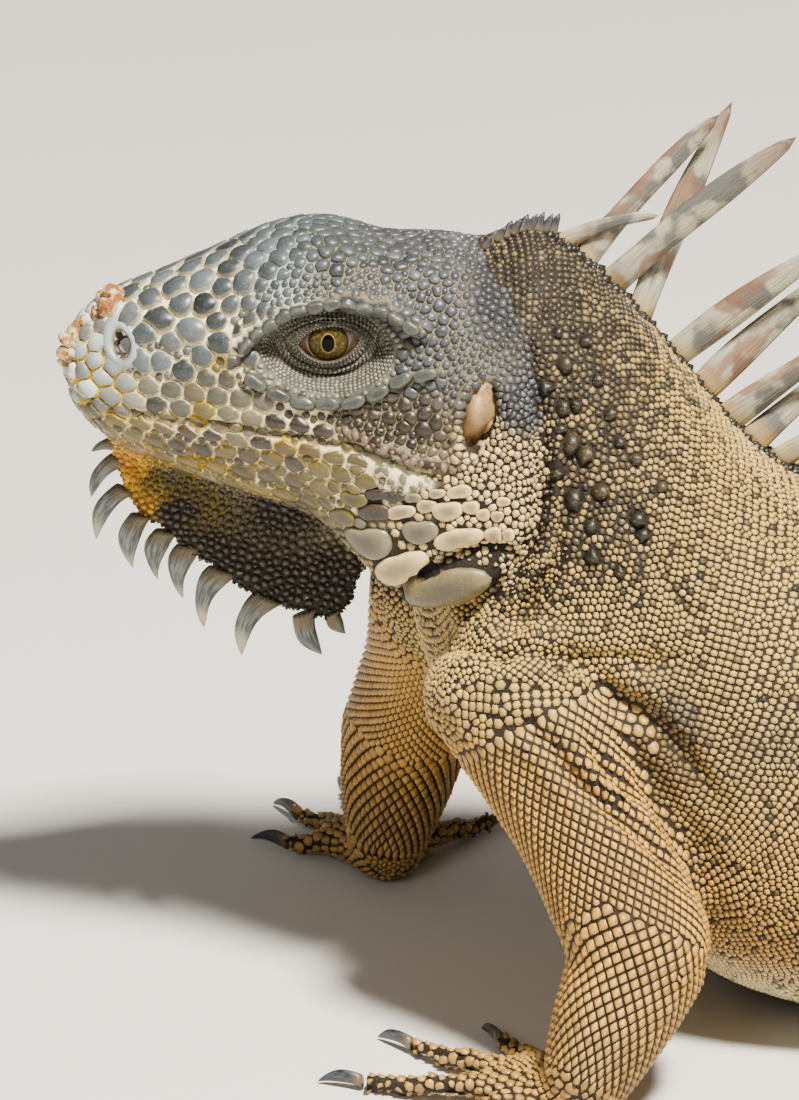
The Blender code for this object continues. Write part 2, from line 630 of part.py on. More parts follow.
def make_tail(home):
    course = tail_course()
    for n in range(TAIL_NODES):
        first, last = n / TAIL_NODES, (n + 1) / TAIL_NODES
        held = TAIL_HELD / TAIL_LENGTH
        shares = np.linspace(first, last - held, TAIL_RINGS)
        rings = [tail_ring(course, float(share)) for share in shares]
        way = course[int(round(last * (len(course) - 1)))][1]
        if n < TAIL_NODES - 1:
            rings[-1] = [p - way * GAP for p in tail_ring(course, last)]
        if n == 0:
            rings[0] = [p + course[0][1] * TAIL_START for p in rings[0]]
        ob = add(f"tail_{n + 1}", loft(rings), home, "tail")
        cut_at_floor(ob)
        spines = tail_spines(course, first, min(last, TAIL_CREST_END))
        if spines:
            join(ob, add(f"tail_crest_{n + 1}", merged(spines), CUTTERS))


def tail_spines(course, first, last):
    made = []
    share = first + TAIL_CREST_MARGIN
    while share < last - TAIL_CREST_MARGIN:
        t = share / TAIL_CREST_END
        length = TAIL_CREST_SIZE[0] * (1 - t) + TAIL_CREST_SIZE[1] * t
        here, way = course[int(round(share * (len(course) - 1)))]
        tall = float(smooth(TAIL_SECTIONS, share)[1])
        root = here + Vector((0.0, 0.0, tall - TAIL_SINK - TAIL_CREST_ROOT))
        up = Vector((0.0, 0.0, 1.0)) + way * TAIL_CREST_LEAN
        made.append(blade(root, up, way, length + TAIL_CREST_ROOT, *TAIL_CREST_HALVES, 0.1, rings=1))
        share += TAIL_CREST_PACE / TAIL_LENGTH
    return made


# ---------------------------------------------------------------- legs
def limb(start, end, radii, grow=0.0, round_start=0.6, round_end=0.8, flatten=1.0,
         spans=4, sides=LIMB_ROUND):
    """A tapering length of limb with rounded ends."""
    start, end = Vector(start), Vector(end)
    way = (end - start).normalized()
    side = way.cross(Vector((0.0, 0.0, 1.0)))
    side = (side if side.length > 0.1 else Vector((1.0, 0.0, 0.0))).normalized()
    up = side.cross(way).normalized()
    length = (end - start).length
    rows = ((0.0, radii[0]), (0.5, radii[1]), (1.0, radii[2]))
    places = []
    for a in (0.9, 0.5):
        places.append((-round_start * radii[0] * a, math.sqrt(1 - a * a), 0.0))
    places += [(length * k / spans, 1.0, k / spans) for k in range(spans + 1)]
    for a in (0.5, 0.9):
        places.append((length + round_end * radii[2] * a, math.sqrt(1 - a * a), 1.0))
    rings = []
    for along, share, t in places:
        radius = float(smooth(rows, t)[0]) * share + grow
        centre = start + way * along
        rings.append([centre + side * radius * math.cos(a) + up * radius * flatten * math.sin(a)
                      for a in (2 * math.pi * k / sides for k in range(sides))])
    first = start - way * (round_start * radii[0] + grow)
    last = end + way * (round_end * radii[2] + grow)
    return loft(rings, tip_first=first, tip_last=last)


def digit_course(root, heading, length, radius, arch):
    """Centre line of a finger or toe: it rises over its knuckle and comes down to the floor."""
    way = Vector((math.sin(heading), -math.cos(heading), 0.0))
    points = []
    for k in range(DIGIT_RINGS):
        t = k / (DIGIT_RINGS - 1)
        rest = radius * (1 - 0.22 * t) - FLOOR_SINK
        lift = arch * math.sin(math.pi * min(t * 1.25, 1.0)) ** 2 * (1 - 0.4 * t)
        height = rest + lift + max(root.z - radius, 0.0) * (1 - t) ** 3
        points.append(Vector((root.x, root.y, 0.0)) + way * length * t + Vector((0.0, 0.0, height)))
    return points, way


def digit(root, heading, length, radius, arch):
    points, way = digit_course(root, heading, length, radius, arch)
    side = Vector((way.y, -way.x, 0.0))
    rings = []
    for k, here in enumerate(points):
        t = k / (len(points) - 1)
        ahead = points[min(k + 1, len(points) - 1)] - points[max(k - 1, 0)]
        up = side.cross(ahead).normalized()
        if up.z < 0:
            up = -up
        bulge = 1.0 + 0.10 * math.cos(2 * math.pi * 3 * t)
        size = radius * (1 - 0.24 * t) * bulge
        rings.append([here + side * size * math.cos(a) + up * size * math.sin(a)
                      for a in (2 * math.pi * j / DIGIT_ROUND + math.pi / 2 for j in range(DIGIT_ROUND))])
    return loft(rings, tip_last=points[-1] + way * radius * DIGIT_TIP), points[-1], way


def claw(root, way, length, radius):
    """A curved, pointed claw that comes down to just above the floor."""
    rings = []
    side = Vector((way.y, -way.x, 0.0))
    for k in range(CLAW_RINGS):
        t = k / CLAW_RINGS
        drop = (root.z - 0.7) * t ** 1.6 - 1.1 * math.sin(math.pi * t)
        centre = root + way * (length * t) - Vector((0.0, 0.0, drop))
        size = radius * (1 - t) ** 0.75
        rings.append([centre + side * size * 0.75 * math.cos(a) + Vector((0.0, 0.0, size * math.sin(a)))
                      for a in (2 * math.pi * j / 5 for j in range(5))])
    tip = Vector((root.x, root.y, 0.5)) + way * length
    return loft(rings, tip_last=tip)


def make_paw(home, kind, side_name, wrist, heading, palm, digits, blockers, tint):
    """A hand or foot with its five digits, and a claw for each."""
    length, half_width, half_thick = palm
    way = Vector((math.sin(heading), -math.cos(heading), 0.0))
    inward = -1.0 if side_name == "left" else 1.0
    low = Vector((wrist[0], wrist[1], half_thick - FLOOR_SINK))
    front = low + way * length
    paw = limb(low, front, (half_width * 0.8, half_width, half_width), flatten=half_thick / half_width,
               round_start=0.7, round_end=0.5, spans=2, sides=PAW_ROUND)
    ob = add(f"{kind}_{side_name}", paw, home, tint)
    for n, (angle, reach, radius) in enumerate(digits):
        turned = heading - inward * math.radians(-angle)
        spread = -angle / 60.0
        across = Vector((way.y, -way.x, 0.0)) * inward
        root = front - way * (half_width * 0.55 + abs(spread) * 4.0) + across * spread * half_width * 0.75
        root.z = radius + 1.5
        shape, end, out = digit(root, turned, reach, radius, 2.6)
        join(ob, add("digit", shape, CUTTERS))
        nail_root = end + out * (radius * DIGIT_TIP + GAP)
        nail_root.z = max(end.z, 1.7)
        add(f"claw_{kind}_{side_name}_{n + 1}",
            claw(nail_root, out, CLAW_LENGTH[kind], CLAW_RADIUS), home, "claw")
    for blocker in blockers:
        cut(ob, blocker)
    cut_at_floor(ob)
    return ob


def make_legs(home):
    trunk_room = cutter("room_trunk", body_room())
    for side in ("left", "right"):
        shoulder, elbow, wrist = ARM_JOINTS[side]
        upper = add(f"upper_arm_{side}", limb(shoulder, elbow, ARM_SIZES[0]), home, "arm")
        cut(upper, trunk_room)
        fore = add(f"forearm_{side}", limb(elbow, wrist, ARM_SIZES[1], round_start=0.3), home, "arm")
        upper_room = cutter(f"room_upper_arm_{side}", limb(shoulder, elbow, ARM_SIZES[0], GAP))
        cut(fore, upper_room)
        cut(fore, trunk_room)
        cut_at_floor(fore)
        cut_at_floor(upper)
        fore_room = cutter(f"room_forearm_{side}", limb(elbow, wrist, ARM_SIZES[1], GAP))
        make_paw(home, "hand", side, wrist, HAND_HEADING[side],
                 PALM, FINGERS, (upper_room, fore_room), "arm")
        hip, knee, ankle = LEG_JOINTS[side]
        thigh = add(f"thigh_{side}", limb(hip, knee, LEG_SIZES[0]), home, "leg")
        cut(thigh, trunk_room)
        shin = add(f"shin_{side}", limb(knee, ankle, LEG_SIZES[1], round_start=0.3), home, "leg")
        thigh_room = cutter(f"room_thigh_{side}", limb(hip, knee, LEG_SIZES[0], GAP))
        cut(shin, thigh_room)
        cut(shin, trunk_room)
        cut_at_floor(shin)
        cut_at_floor(thigh)
        shin_room = cutter(f"room_shin_{side}", limb(knee, ankle, LEG_SIZES[1], GAP))
        make_paw(home, "foot", side, ankle, FOOT_HEADING[side],
                 SOLE, TOES, (thigh_room, shin_room), "leg")


def main():
    parts = collection("iguana")
    make_head(parts)
    make_dewlap(parts)
    make_body(parts, bpy.data.objects["grown_head"])
    make_tail(parts)
    make_legs(parts)


clear_scene()
CUTTERS = collection("cutters")
main()
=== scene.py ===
"""Green iguana: the looks of the model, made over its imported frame.

One skin takes the place of the nodes of flesh, and every scale is a small solid that stands
on it.  A scale is drawn from a seed: a place on the skin, the way it lies, and a half length
and half width.  Its outline is where it meets its neighbours, less half a gap.  Lengths in
the tables are millimetres, and the sizes that a user may change are in metres.
"""
import math

import bmesh
import bpy
import numpy as np
from mathutils import Matrix, Vector, noise
from mathutils.bvhtree import BVHTree
from mathutils.kdtree import KDTree


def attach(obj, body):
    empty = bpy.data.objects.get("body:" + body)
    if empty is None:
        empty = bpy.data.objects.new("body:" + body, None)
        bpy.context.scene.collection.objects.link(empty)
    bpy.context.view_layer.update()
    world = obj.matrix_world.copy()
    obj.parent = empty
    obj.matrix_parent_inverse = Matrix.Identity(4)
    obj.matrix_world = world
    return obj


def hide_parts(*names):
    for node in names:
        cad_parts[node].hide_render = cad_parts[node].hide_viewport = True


bl_info = {
    "name": "Green iguana",
    "version": (1, 0, 0),
    "blender": (4, 5, 0),
    "location": "3D View > Sidebar > Iguana",
    "description": "Makes the skin, scales, spines, eyes and claws of a life-size green iguana",
    "category": "Add Mesh",
}

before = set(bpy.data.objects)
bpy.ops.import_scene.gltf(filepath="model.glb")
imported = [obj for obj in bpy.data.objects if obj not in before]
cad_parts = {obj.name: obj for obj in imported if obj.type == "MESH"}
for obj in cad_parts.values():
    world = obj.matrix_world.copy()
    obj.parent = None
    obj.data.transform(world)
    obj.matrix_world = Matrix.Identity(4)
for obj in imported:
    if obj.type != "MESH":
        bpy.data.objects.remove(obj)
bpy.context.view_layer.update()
MM = 0.001
JOIN = 1e-6                   # points closer than this are made one, in metres
BESIDE_HEAD = 60.0            # a place across the head that is clear of it
MADE = {}                     # what one step leaves for the next: the skin and its search trees

# ---------------------------------------------------------------- the head, in its own axes
HEAD_PLACE = np.array((0.0, -183.1, 149.2))
HEAD_TURN = math.radians(-11.0)
HEAD_AXES = np.array(Matrix.Rotation(HEAD_TURN, 3, "Z"))
# Each row: place along the head, crown height, then half width and height at crown, brow,
# cheek, lip, jaw and jaw edge, and the chin's height.
HEAD_SECTIONS = (
    (-87.6, 1.4, 1.8, 1, 3, 0.2, 3.4, -1.2, 3.4, -2.6, 2.8, -4.2, 1.6, -5.4, -5.8),
    (-86, 5.4, 3.4, 4.8, 5.6, 2.6, 6.8, -1, 7.2, -4.6, 6, -7.4, 3.4, -9.6, -10.2),
    (-82, 9.8, 4.2, 9.2, 7.4, 6, 9.6, 0.8, 10.4, -5.6, 9, -11, 5.2, -15.4, -16.4),
    (-76, 13, 4.8, 12.4, 8.8, 9.2, 11.6, 3.2, 13.2, -6.2, 11.8, -13.2, 6.8, -19.2, -20.8),
    (-67, 16.6, 5.8, 15.8, 10.4, 12.6, 13.8, 5.4, 16, -6.4, 14.6, -14.6, 8.8, -22, -24),
    (-56, 21, 7.2, 20, 12.6, 15.6, 16.4, 6.8, 19.2, -6.8, 17.8, -16.4, 10.8, -25.4, -28),
    (-44, 25.9, 9.6, 24.7, 16, 17.8, 17.6, 8.6, 21.8, -7.4, 20.6, -18.4, 13, -29.2, -32),
    (-32, 27.5, 11.2, 26.1, 17.6, 18.8, 18.2, 9, 24.2, -8.8, 23.6, -20.8, 15.6, -33, -35.4),
    (-26, 26.2, 11.4, 24.8, 17.9, 18.2, 19.4, 8.2, 25.3, -9.9, 25.4, -22.8, 18.8, -39.4, -37.2),
    (-20, 24.6, 11.6, 23.2, 18.2, 17.6, 20.6, 7.4, 26.4, -11, 27.2, -24.8, 21.6, -45.4, -38.2),
    (-8, 24.4, 11.2, 23, 18.4, 16, 24.2, 4.4, 28.8, -13.4, 31.2, -27.4, 25.4, -47.8, -38.2),
    (3, 21.8, 11, 20.4, 18.4, 13.8, 26.6, 2, 30.6, -12.6, 33, -26, 26.2, -43.6, -35.6),
    (11, 17.8, 10, 16.4, 17, 10.6, 25.4, 0, 29.6, -12.4, 31.2, -25.4, 23, -39.4, -32),
    (16, 9, 6.4, 8, 11.4, 4, 17.4, -4, 20.4, -12.6, 21, -22.4, 14.6, -31.6, -26),
)
MOUTH_LINE = ((-95, -6), (-85, -7), (-78, -8.9), (-57, -9.6), (-41, -10.4),
              (-26, -12.4), (-8, -17.6))
DEWLAP_HEM = ((-79.5, -21), (-77.5, -29), (-74.3, -36.4), (-69, -41), (-64.9, -44.2),
              (-59, -48.8), (-50.4, -55.9), (-41.9, -59.8), (-33, -62), (-27.5, -60),
              (-24.5, -52), (-20, -43), (-15, -36))
DEWLAP_TOP = 6.0
DEWLAP_THICK = (2.6, 1.5)
# Spikes under the chin: place on the hem, length, forward lean in degrees, half width.
DEWLAP_SPIKES = ((-78.6, -22, 4.5, 78, 1.3), (-77.5, -26.4, 9.4, 40, 1.7),
                 (-76.2, -33.2, 12, 33, 1.9), (-72.4, -39.4, 11, 13, 2.1),
                 (-67.2, -43, 10, 14, 2), (-62.2, -46.4, 10.9, 11, 2.1),
                 (-55.4, -51.8, 12.6, 22, 2.3), (-46, -58, 13.2, 28, 2.4),
                 (-36.8, -61.4, 9.1, -16, 2.3), (-30.6, -61.4, 4.2, -26, 1.6))
EYE_PLACE = np.array((10.6, -31.6, 8.4))
EYE_RADIUS = 8.4
EAR_PLACE = np.array((25.0, -0.2, -4.5))
EAR_SIZE = (3.4, 7.4)
EAR_LEAN = math.radians(14.0)
NOSTRIL_PLACE = (-74.7, 4.9)

# ---------------------------------------------------------------- neck, trunk and tail
# Each row: the top's Y and Z, the bottom's Y and Z, half width, squareness.
BODY_SECTIONS = (
    (-188, 167, -186, 114, 20, 2), (-181, 173.5, -190, 107, 25, 2),
    (-172, 176, -195, 99, 28.5, 2), (-163, 171.5, -197, 92, 31, 2),
    (-152, 160, -196, 82, 35, 2.1), (-141, 146.5, -190, 68, 40, 2.2),
    (-129, 131, -177, 50, 45, 2.2), (-115, 119, -159, 29, 51, 2.2),
    (-97, 113, -137, 10, 57, 2.3), (-75, 112, -107, -0.6, 62, 2.4),
    (-40, 115, -60, -2.4, 66, 2.4), (0, 117, 0, -2.4, 67, 2.4),
    (45, 112, 45, -2.4, 62, 2.3), (80, 100, 80, -2, 52, 2.2),
    (108, 84, 106, 0.6, 40, 2.1), (130, 71, 127, 3, 30, 2),
    (150, 61, 147, 0, 24, 2),
)
BODY_SAG = 0.08
BODY_LAST = len(BODY_SECTIONS) - 1.0
TAIL_LENGTH = 850.0
TAIL_SWING = 0.42
TAIL_WAVES = 0.92
TAIL_SINK = 0.5
TAIL_SECTIONS = ((0, 24, 61), (0.08, 19.5, 53), (0.2, 14.5, 42), (0.4, 9.6, 28),
                 (0.6, 6.2, 18.5), (0.8, 3.6, 10.5), (0.94, 1.9, 5.2), (1, 0.8, 2.2))

# ---------------------------------------------------------------- legs
ARM_JOINTS = {
    "left": ((29, -183, 88), (58, -159, 36), (66, -173, 12)),
    "right": ((-29, -183, 86), (-64, -188, 34), (-60, -193, 12)),
}
LEG_JOINTS = {
    "left": ((34, 84, 48), (92, 47, 40), (86, 108, 13)),
    "right": ((-34, 84, 48), (-90, 62, 38), (-82, 125, 13)),
}
ARM_WIDTH, FOREARM_WIDTH = 16.5, 13.2
THIGH_WIDTH, SHIN_WIDTH = 21.5, 13.6
DIGIT_LENGTHS = {"hand": (17, 28, 37, 38, 25), "foot": (20, 34, 50, 66, 38)}
DIGIT_WIDTH = {"hand": 3.1, "foot": 3.5}
PALM_LENGTH = {"hand": 17, "foot": 30}

FLESH = ["head", "lower_jaw", "dewlap", "neck", "trunk_front", "trunk_rear",
         *[f"tail_{n}" for n in range(1, 6)],
         *[f"{part}_{side}" for part in ("upper_arm", "forearm", "hand", "thigh", "shin", "foot")
           for side in ("left", "right")]]
LIMB_NODES = FLESH[11:]


# ---------------------------------------------------------------- colours and sizes
def paint(code):
    """A colour given as six hex digits, as the linear values that shaders use."""
    parts = [int(code[k:k + 2], 16) / 255 for k in (0, 2, 4)]
    return tuple(p / 12.92 if p <= 0.04045 else ((p + 0.055) / 1.055) ** 2.4 for p in parts)


# Painted shade: the colour of the inside of the nostrils, for the shade in the hole.
NOSTRIL_PAINTED_SHADE = paint("2a1b13")
LINING_DARK, LINING_PALE = paint("3a2a16"), np.array(paint("a8846a"))
BROW_DARK = np.array(paint("3f413a"))
FOLD_TONE, FOLD_GAP = paint("6f5a48"), paint("33241a")


def hue(name, description, code):
    return bpy.props.FloatVectorProperty(name=name, description=description, default=paint(code),
                                         subtype="COLOR", size=3, min=0.0, max=1.0)


def length(name, description, millimetres):
    return bpy.props.FloatProperty(name=name, description=description, default=millimetres * MM,
                                   subtype="DISTANCE", unit="LENGTH", min=0.0, precision=4)


class IguanaPaints(bpy.types.PropertyGroup):
    """Colours of skin, scales, spines, eyes and claws"""
    slate: hue("Slate", "Plates of snout and crown", "3f4649")
    slate_pale: hue("Pale slate", "Plates round the nostrils and the lips' front", "969e9b")
    slate_dark: hue("Dark slate", "Brow ridge and the darkest plates", "2c2f33")
    temple: hue("Temple", "Small plates behind and over the eye", "3d4045")
    cheek: hue("Cheek", "Brown plates under the eye", "2c2219")
    lip: hue("Lip", "Plates along the mouth", "48463a")
    chin: hue("Chin", "Plates of the lower jaw", "51461c")
    yellow: hue("Yellow", "Warm stain of lips and chin", "caa600")
    grout: hue("Grout", "Skin between the plates of the head", "ecdfb6")
    lid: hue("Lid", "Eyelids", "7b7768")
    jowl: hue("Jowl", "Beads and plates of the jowl", "b8a070")
    jowl_brown: hue("Brown jowl", "Darker jowl plates", "665f49")
    shield: hue("Shield", "The round shield under the ear", "5c5338")
    # The dewlap's colour is darker than its own grey-brown: it also holds painted shade, for the shade under
    # the jaw.
    dewlap: hue("Dewlap", "Scales of the dewlap", "251d0e")
    orange: hue("Orange", "Patch on the front of the dewlap", "a06c10")
    nape: hue("Nape", "Small dark scales of the nape", "4c4436")
    dark: hue("Dark beads", "Dark scales strewn over neck and flank", "24211a")
    bead: hue("Beads", "Pale scales of neck and flank", "ac8f4f")
    bead_warm: hue("Warm beads", "Scales low on the flank", "a17834")
    brown: hue("Brown", "Stain behind the shoulder", "38230b")
    crease: hue("Crease", "Skin between the scales of the body", "1c130a")
    arm: hue("Arm", "Scales of the arms", "ad8132")
    leg: hue("Leg", "Scales of the hind legs", "8f6f34")
    paw: hue("Paw", "Plates of fingers and toes", "9c7836")
    web: hue("Web", "Skin between the scales of the limbs", "1f1810")
    belly: hue("Belly", "Underside", "c0ae80")
    band: hue("Band", "Dark bands of the tail", "33270f")
    tail: hue("Tail", "Light bands of the tail", "8a7445")
    spine: hue("Spine", "Crest spines", "9c9681")
    spine_stain: hue("Spine stain", "Brown marks on the crest spines", "6a4630")
    claw: hue("Claw", "Claws", "222224")
    iris: hue("Iris", "Iris", "40371a")
    ear: hue("Ear", "Ear drum", "a8875c")


class IguanaSizes(bpy.types.PropertyGroup):
    """Sizes of the skin's mesh and of the scales"""
    skin_cell: length("Skin cell", "Side of the squares that the skin is made of", 2.2)
    coat: length("Coat depth", "How far the skin lies inside the solids", 0.7)
    chest_scale: length("Chest scale", "Distance between scales on neck and chest", 1.6)
    flank_scale: length("Flank scale", "Distance between scales at the rear of the trunk", 2.4)
    arm_scale: length("Arm scale", "Distance between scales on the arms", 3.1)
    leg_scale: length("Leg scale", "Distance between scales on the hind legs", 3.4)
    paw_scale: length("Paw scale", "Distance between rings of plates on fingers and toes", 2.2)
    tail_scale: length("Tail scale", "Distance between rings of scales on the tail", 4.0)


def paints(name):
    """A colour that the user may change."""
    return np.array(getattr(bpy.context.scene.iguana_paints, name)[:])


def size(name):
    """A size that the user may change, in millimetres."""
    return getattr(bpy.context.scene.iguana_sizes, name) / MM


# ---------------------------------------------------------------- reading tables, curves
def read(rows, at):
    """Reads a table whose first column is a place, along smooth curves, at many places."""
    table = np.array(rows, float)
    place, values = table[:, 0], table[:, 1:]
    slope = np.gradient(values, place, axis=0)
    at = np.clip(np.atleast_1d(np.asarray(at, float)), place[0], place[-1])
    i = np.clip(np.searchsorted(place, at) - 1, 0, len(place) - 2)
    step = (place[i + 1] - place[i])[:, None]
    t = (at - place[i])[:, None] / step
    a, b = 2 * t**3 - 3 * t**2 + 1, t**3 - 2 * t**2 + t
    return (a * values[i] + b * step * slope[i] + (1 - a) * values[i + 1]
            + (t**3 - t**2) * step * slope[i + 1])


def numbered(rows):
    """A table's rows with their own numbers as the places."""
    return [(float(i), *row) for i, row in enumerate(rows)]


def unit(vectors):
    return vectors / np.maximum(np.linalg.norm(vectors, axis=-1, keepdims=True), 1e-9)


def soft_step(low, high, value):
    """0 at the low number, 1 at the high one and smooth between; low may be the greater."""
    t = np.clip((value - low) / (high - low), 0.0, 1.0)
    return t * t * (3 - 2 * t)


def from_head(points):
    return points @ HEAD_AXES.T + HEAD_PLACE


def to_head(points):
    return (points - HEAD_PLACE) @ HEAD_AXES


def on_left(places):
    """The same places, folded over to the animal's left."""
    return np.column_stack([np.abs(places[:, 0]), places[:, 1:]])


def grid_from_head(grid):
    return from_head(grid.reshape(-1, 3)).reshape(grid.shape)


def way_off(points, line):
    """How far each point is from a line of straight pieces, and how far along that line."""
    line = np.array(line, float)
    best = np.full(len(points), 1e9)
    share = np.zeros(len(points))
    for k, (a, b) in enumerate(zip(line, line[1:])):
        run = b - a
        t = np.clip((points - a) @ run / (run @ run), 0.0, 1.0)
        off = np.linalg.norm(points - a - t[:, None] * run, axis=1)
        closer = off < best
        best = np.where(closer, off, best)
        share = np.where(closer, (k + t) / (len(line) - 1), share)
    return best, share


def run_along(points):
    """How far each point of a line is from its start, along the line."""
    return np.concatenate([[0], np.cumsum(np.linalg.norm(np.diff(points, axis=0), axis=1))])


def read_line(marks, known, points):
    """Points of a line at the marks, where the known numbers stand for its own points."""
    return np.stack([np.interp(marks, known, column) for column in points.T], axis=1)


def cloud(points, grain, shift=0.0):
    """Smooth noise from about -1 to 1, with patches about one grain across."""
    return np.array([noise.noise(Vector(p)) for p in points / grain + shift])


# ---------------------------------------------------------------- the shapes under the skin
def head_surface(at, turn):
    """Points on the head in its own axes: a place along it, and a share of the way round."""
    rows = read(HEAD_SECTIONS, at)
    side = rows[:, 1:13].reshape(-1, 6, 2)
    top = np.stack([0 * rows[:, 0], rows[:, 0]], -1)[:, None]
    low = np.stack([0 * rows[:, 0], rows[:, -1]], -1)[:, None]
    outline = np.concatenate([top, side, low, side[:, ::-1] * (-1, 1)], axis=1)
    count = outline.shape[1]
    k = np.floor(turn * count).astype(int)
    t = (turn * count - k)[:, None]
    p0, p1, p2, p3 = (outline[np.arange(len(at)), (k + j) % count] for j in (-1, 0, 1, 2))
    flat = p1 + 0.5 * t * (p2 - p0 + t * (2 * p0 - 5 * p1 + 4 * p2 - p3
                                          + t * (3 * (p1 - p2) + p3 - p0)))
    return np.stack([flat[:, 0], at, flat[:, 1]], axis=1)


def body_surface(at, turn):
    """Points on neck and trunk: a row of its table, and a share of the way round from the left."""
    top_y, top_z, low_y, low_z, half, square = read(numbered(BODY_SECTIONS), at).T
    top = np.stack([0 * top_y, top_y, top_z], axis=1)
    low = np.stack([0 * low_y, low_y, low_z], axis=1)
    c, s = np.cos(2 * np.pi * turn), np.sin(2 * np.pi * turn)
    across = np.sign(c) * np.abs(c) ** (2 / square) * half * (1 - BODY_SAG * s)
    rise = np.sign(s) * np.abs(s) ** (2 / square)
    return ((top + low) / 2 + (top - low) / 2 * rise[:, None]
            + across[:, None] * np.array((1.0, 0.0, 0.0)))


def tail_course():
    """The tail's middle line on the floor, in even steps, and its headings."""
    steps = 200
    heading = TAIL_SWING * np.sin(2 * np.pi * TAIL_WAVES * np.arange(steps + 1) / steps)
    way = np.stack([np.sin(heading), np.cos(heading), 0 * heading], axis=1)
    start = np.array((0.0, BODY_SECTIONS[-1][0] - 1.5, 0.0))
    places = start + np.cumsum(np.vstack([np.zeros((1, 3)), way[:-1]]), axis=0) * TAIL_LENGTH / steps
    return places, way


TAIL_PLACES, TAIL_WAYS = tail_course()


def tail_surface(share, turn):
    """Points on the tail: a share of its length, and a share of the way round from the left."""
    k = np.clip(share, 0, 1) * (len(TAIL_PLACES) - 1)
    here, way = (read_line(k, np.arange(len(known)), known) for known in (TAIL_PLACES, TAIL_WAYS))
    way = unit(way)
    half, tall = read(TAIL_SECTIONS, share).T
    side = np.stack([way[:, 1], -way[:, 0], 0 * half], axis=1)
    c, s = np.cos(2 * np.pi * turn), np.sin(2 * np.pi * turn)
    up = tall / 2 * (1 + s) - TAIL_SINK
    return here + side * (half * c)[:, None] + np.stack([0 * up, 0 * up, up], axis=1)


def grid_of(surface, places, turns):
    at, turn = np.meshgrid(places, turns, indexing="ij")
    return surface(at.ravel(), turn.ravel()).reshape(len(places), len(turns), 3)


def dewlap_grid():
    """The fold under the chin: round it from the chin to the hem and back, along its length."""
    places = np.linspace(0.0, len(DEWLAP_HEM) - 1.0, 48)
    hem = read(numbered(DEWLAP_HEM), places)
    root_y = hem[:, 0] + np.linspace(4.0, 0.0, len(places))
    chin = read(HEAD_SECTIONS, root_y)[:, -1]
    root = np.stack([root_y, np.maximum(chin, hem[:, 1]) + DEWLAP_TOP], axis=1)
    rings = []
    for share in np.linspace(-1.0, 1.0, 27):
        down = math.cos(share * math.pi / 2) ** 0.5 if abs(share) < 1 else 0.0
        thick = DEWLAP_THICK[0] * (1 - down) + DEWLAP_THICK[1] * down
        flat = root * (1 - down) + hem * down
        x = thick * math.copysign(min(1.0, abs(share) * 6) ** 0.5, share)
        rings.append(np.column_stack([np.full(len(places), x), flat[:, 0], flat[:, 1]]))
    return np.array(rings).transpose(1, 0, 2)


def wrapped(points, closed=True, flip=False):
    """A tube: a flat grid whose columns are led round it, with its ends filled if it is closed."""
    rings, sides = points.shape[:2]
    bm = bmesh.new()
    bmesh.ops.create_grid(bm, x_segments=sides, y_segments=rings - 1, size=1.0)
    places = np.concatenate([points, points[:, :1]], axis=1).reshape(-1, 3) * MM
    for vert, place in zip(bm.verts, places):
        vert.co = place
    bmesh.ops.remove_doubles(bm, verts=bm.verts, dist=JOIN)
    if closed:
        bmesh.ops.holes_fill(bm, edges=bm.edges, sides=0)
    bmesh.ops.recalc_face_normals(bm, faces=bm.faces)
    if flip:
        bmesh.ops.reverse_faces(bm, faces=bm.faces)
    return bm


def mesh_of(name, bm):
    """A mesh from a bmesh, which is freed."""
    mesh = bpy.data.meshes.new(name)
    bm.to_mesh(mesh)
    bm.free()
    return mesh


def add_shape(bm, other):
    """Adds one bmesh, or one CAD node's mesh, to another bmesh."""
    if isinstance(other, bmesh.types.BMesh):
        mesh = mesh_of("shape", other)
        bm.from_mesh(mesh)
        bpy.data.meshes.remove(mesh)
    else:
        bm.from_mesh(other)


def new_piece(name, made, replaces=()):
    """An object, from a mesh or a bmesh, that rides on the frame's one body."""
    if isinstance(made, bmesh.types.BMesh):
        made = mesh_of(name, made)
        made.shade_smooth()
    piece = bpy.data.objects.new(name, made)
    bpy.context.scene.collection.objects.link(piece)
    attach(piece, "root")
    if replaces:
        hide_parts(*replaces)
    return piece


def places_of(mesh):
    flat = np.empty(len(mesh.vertices) * 3, np.float32)
    mesh.vertices.foreach_get("co", flat)
    return flat.reshape(-1, 3).astype(float) / MM


def set_places(mesh, places):
    mesh.vertices.foreach_set("co", (places * MM).astype(np.float32).ravel())
    mesh.update()


def tinted(mesh, colours):
    """Gives each point of a mesh its colour."""
    layer = mesh.attributes.new("tint", "FLOAT_COLOR", "POINT")
    full = np.column_stack([colours, np.ones(len(colours))])
    layer.data.foreach_set("color", full.astype(np.float32).ravel())


def normals_of(mesh):
    flat = np.empty(len(mesh.vertices) * 3, np.float32)
    mesh.vertex_normals.foreach_get("vector", flat)
    return flat.reshape(-1, 3).astype(float)


def edges_of(mesh):
    flat = np.empty(len(mesh.edges) * 2, np.int32)
    mesh.edges.foreach_get("vertices", flat)
    return flat.reshape(-1, 2)


def eased(places, edges, times, share, where=None):
    """Moves each point towards the middle of the points it is joined to."""
    ends = np.concatenate([edges, edges[:, ::-1]])
    count = np.maximum(np.bincount(ends[:, 0], minlength=len(places)), 1)
    keep = share if where is None else share * where
    for _ in range(times):
        middle = np.stack([np.bincount(ends[:, 0], places[ends[:, 1], j], len(places)) / count
                           for j in range(3)], axis=1)
        places = places + (middle - places) * np.broadcast_to(keep, len(places))[:, None]
    return places


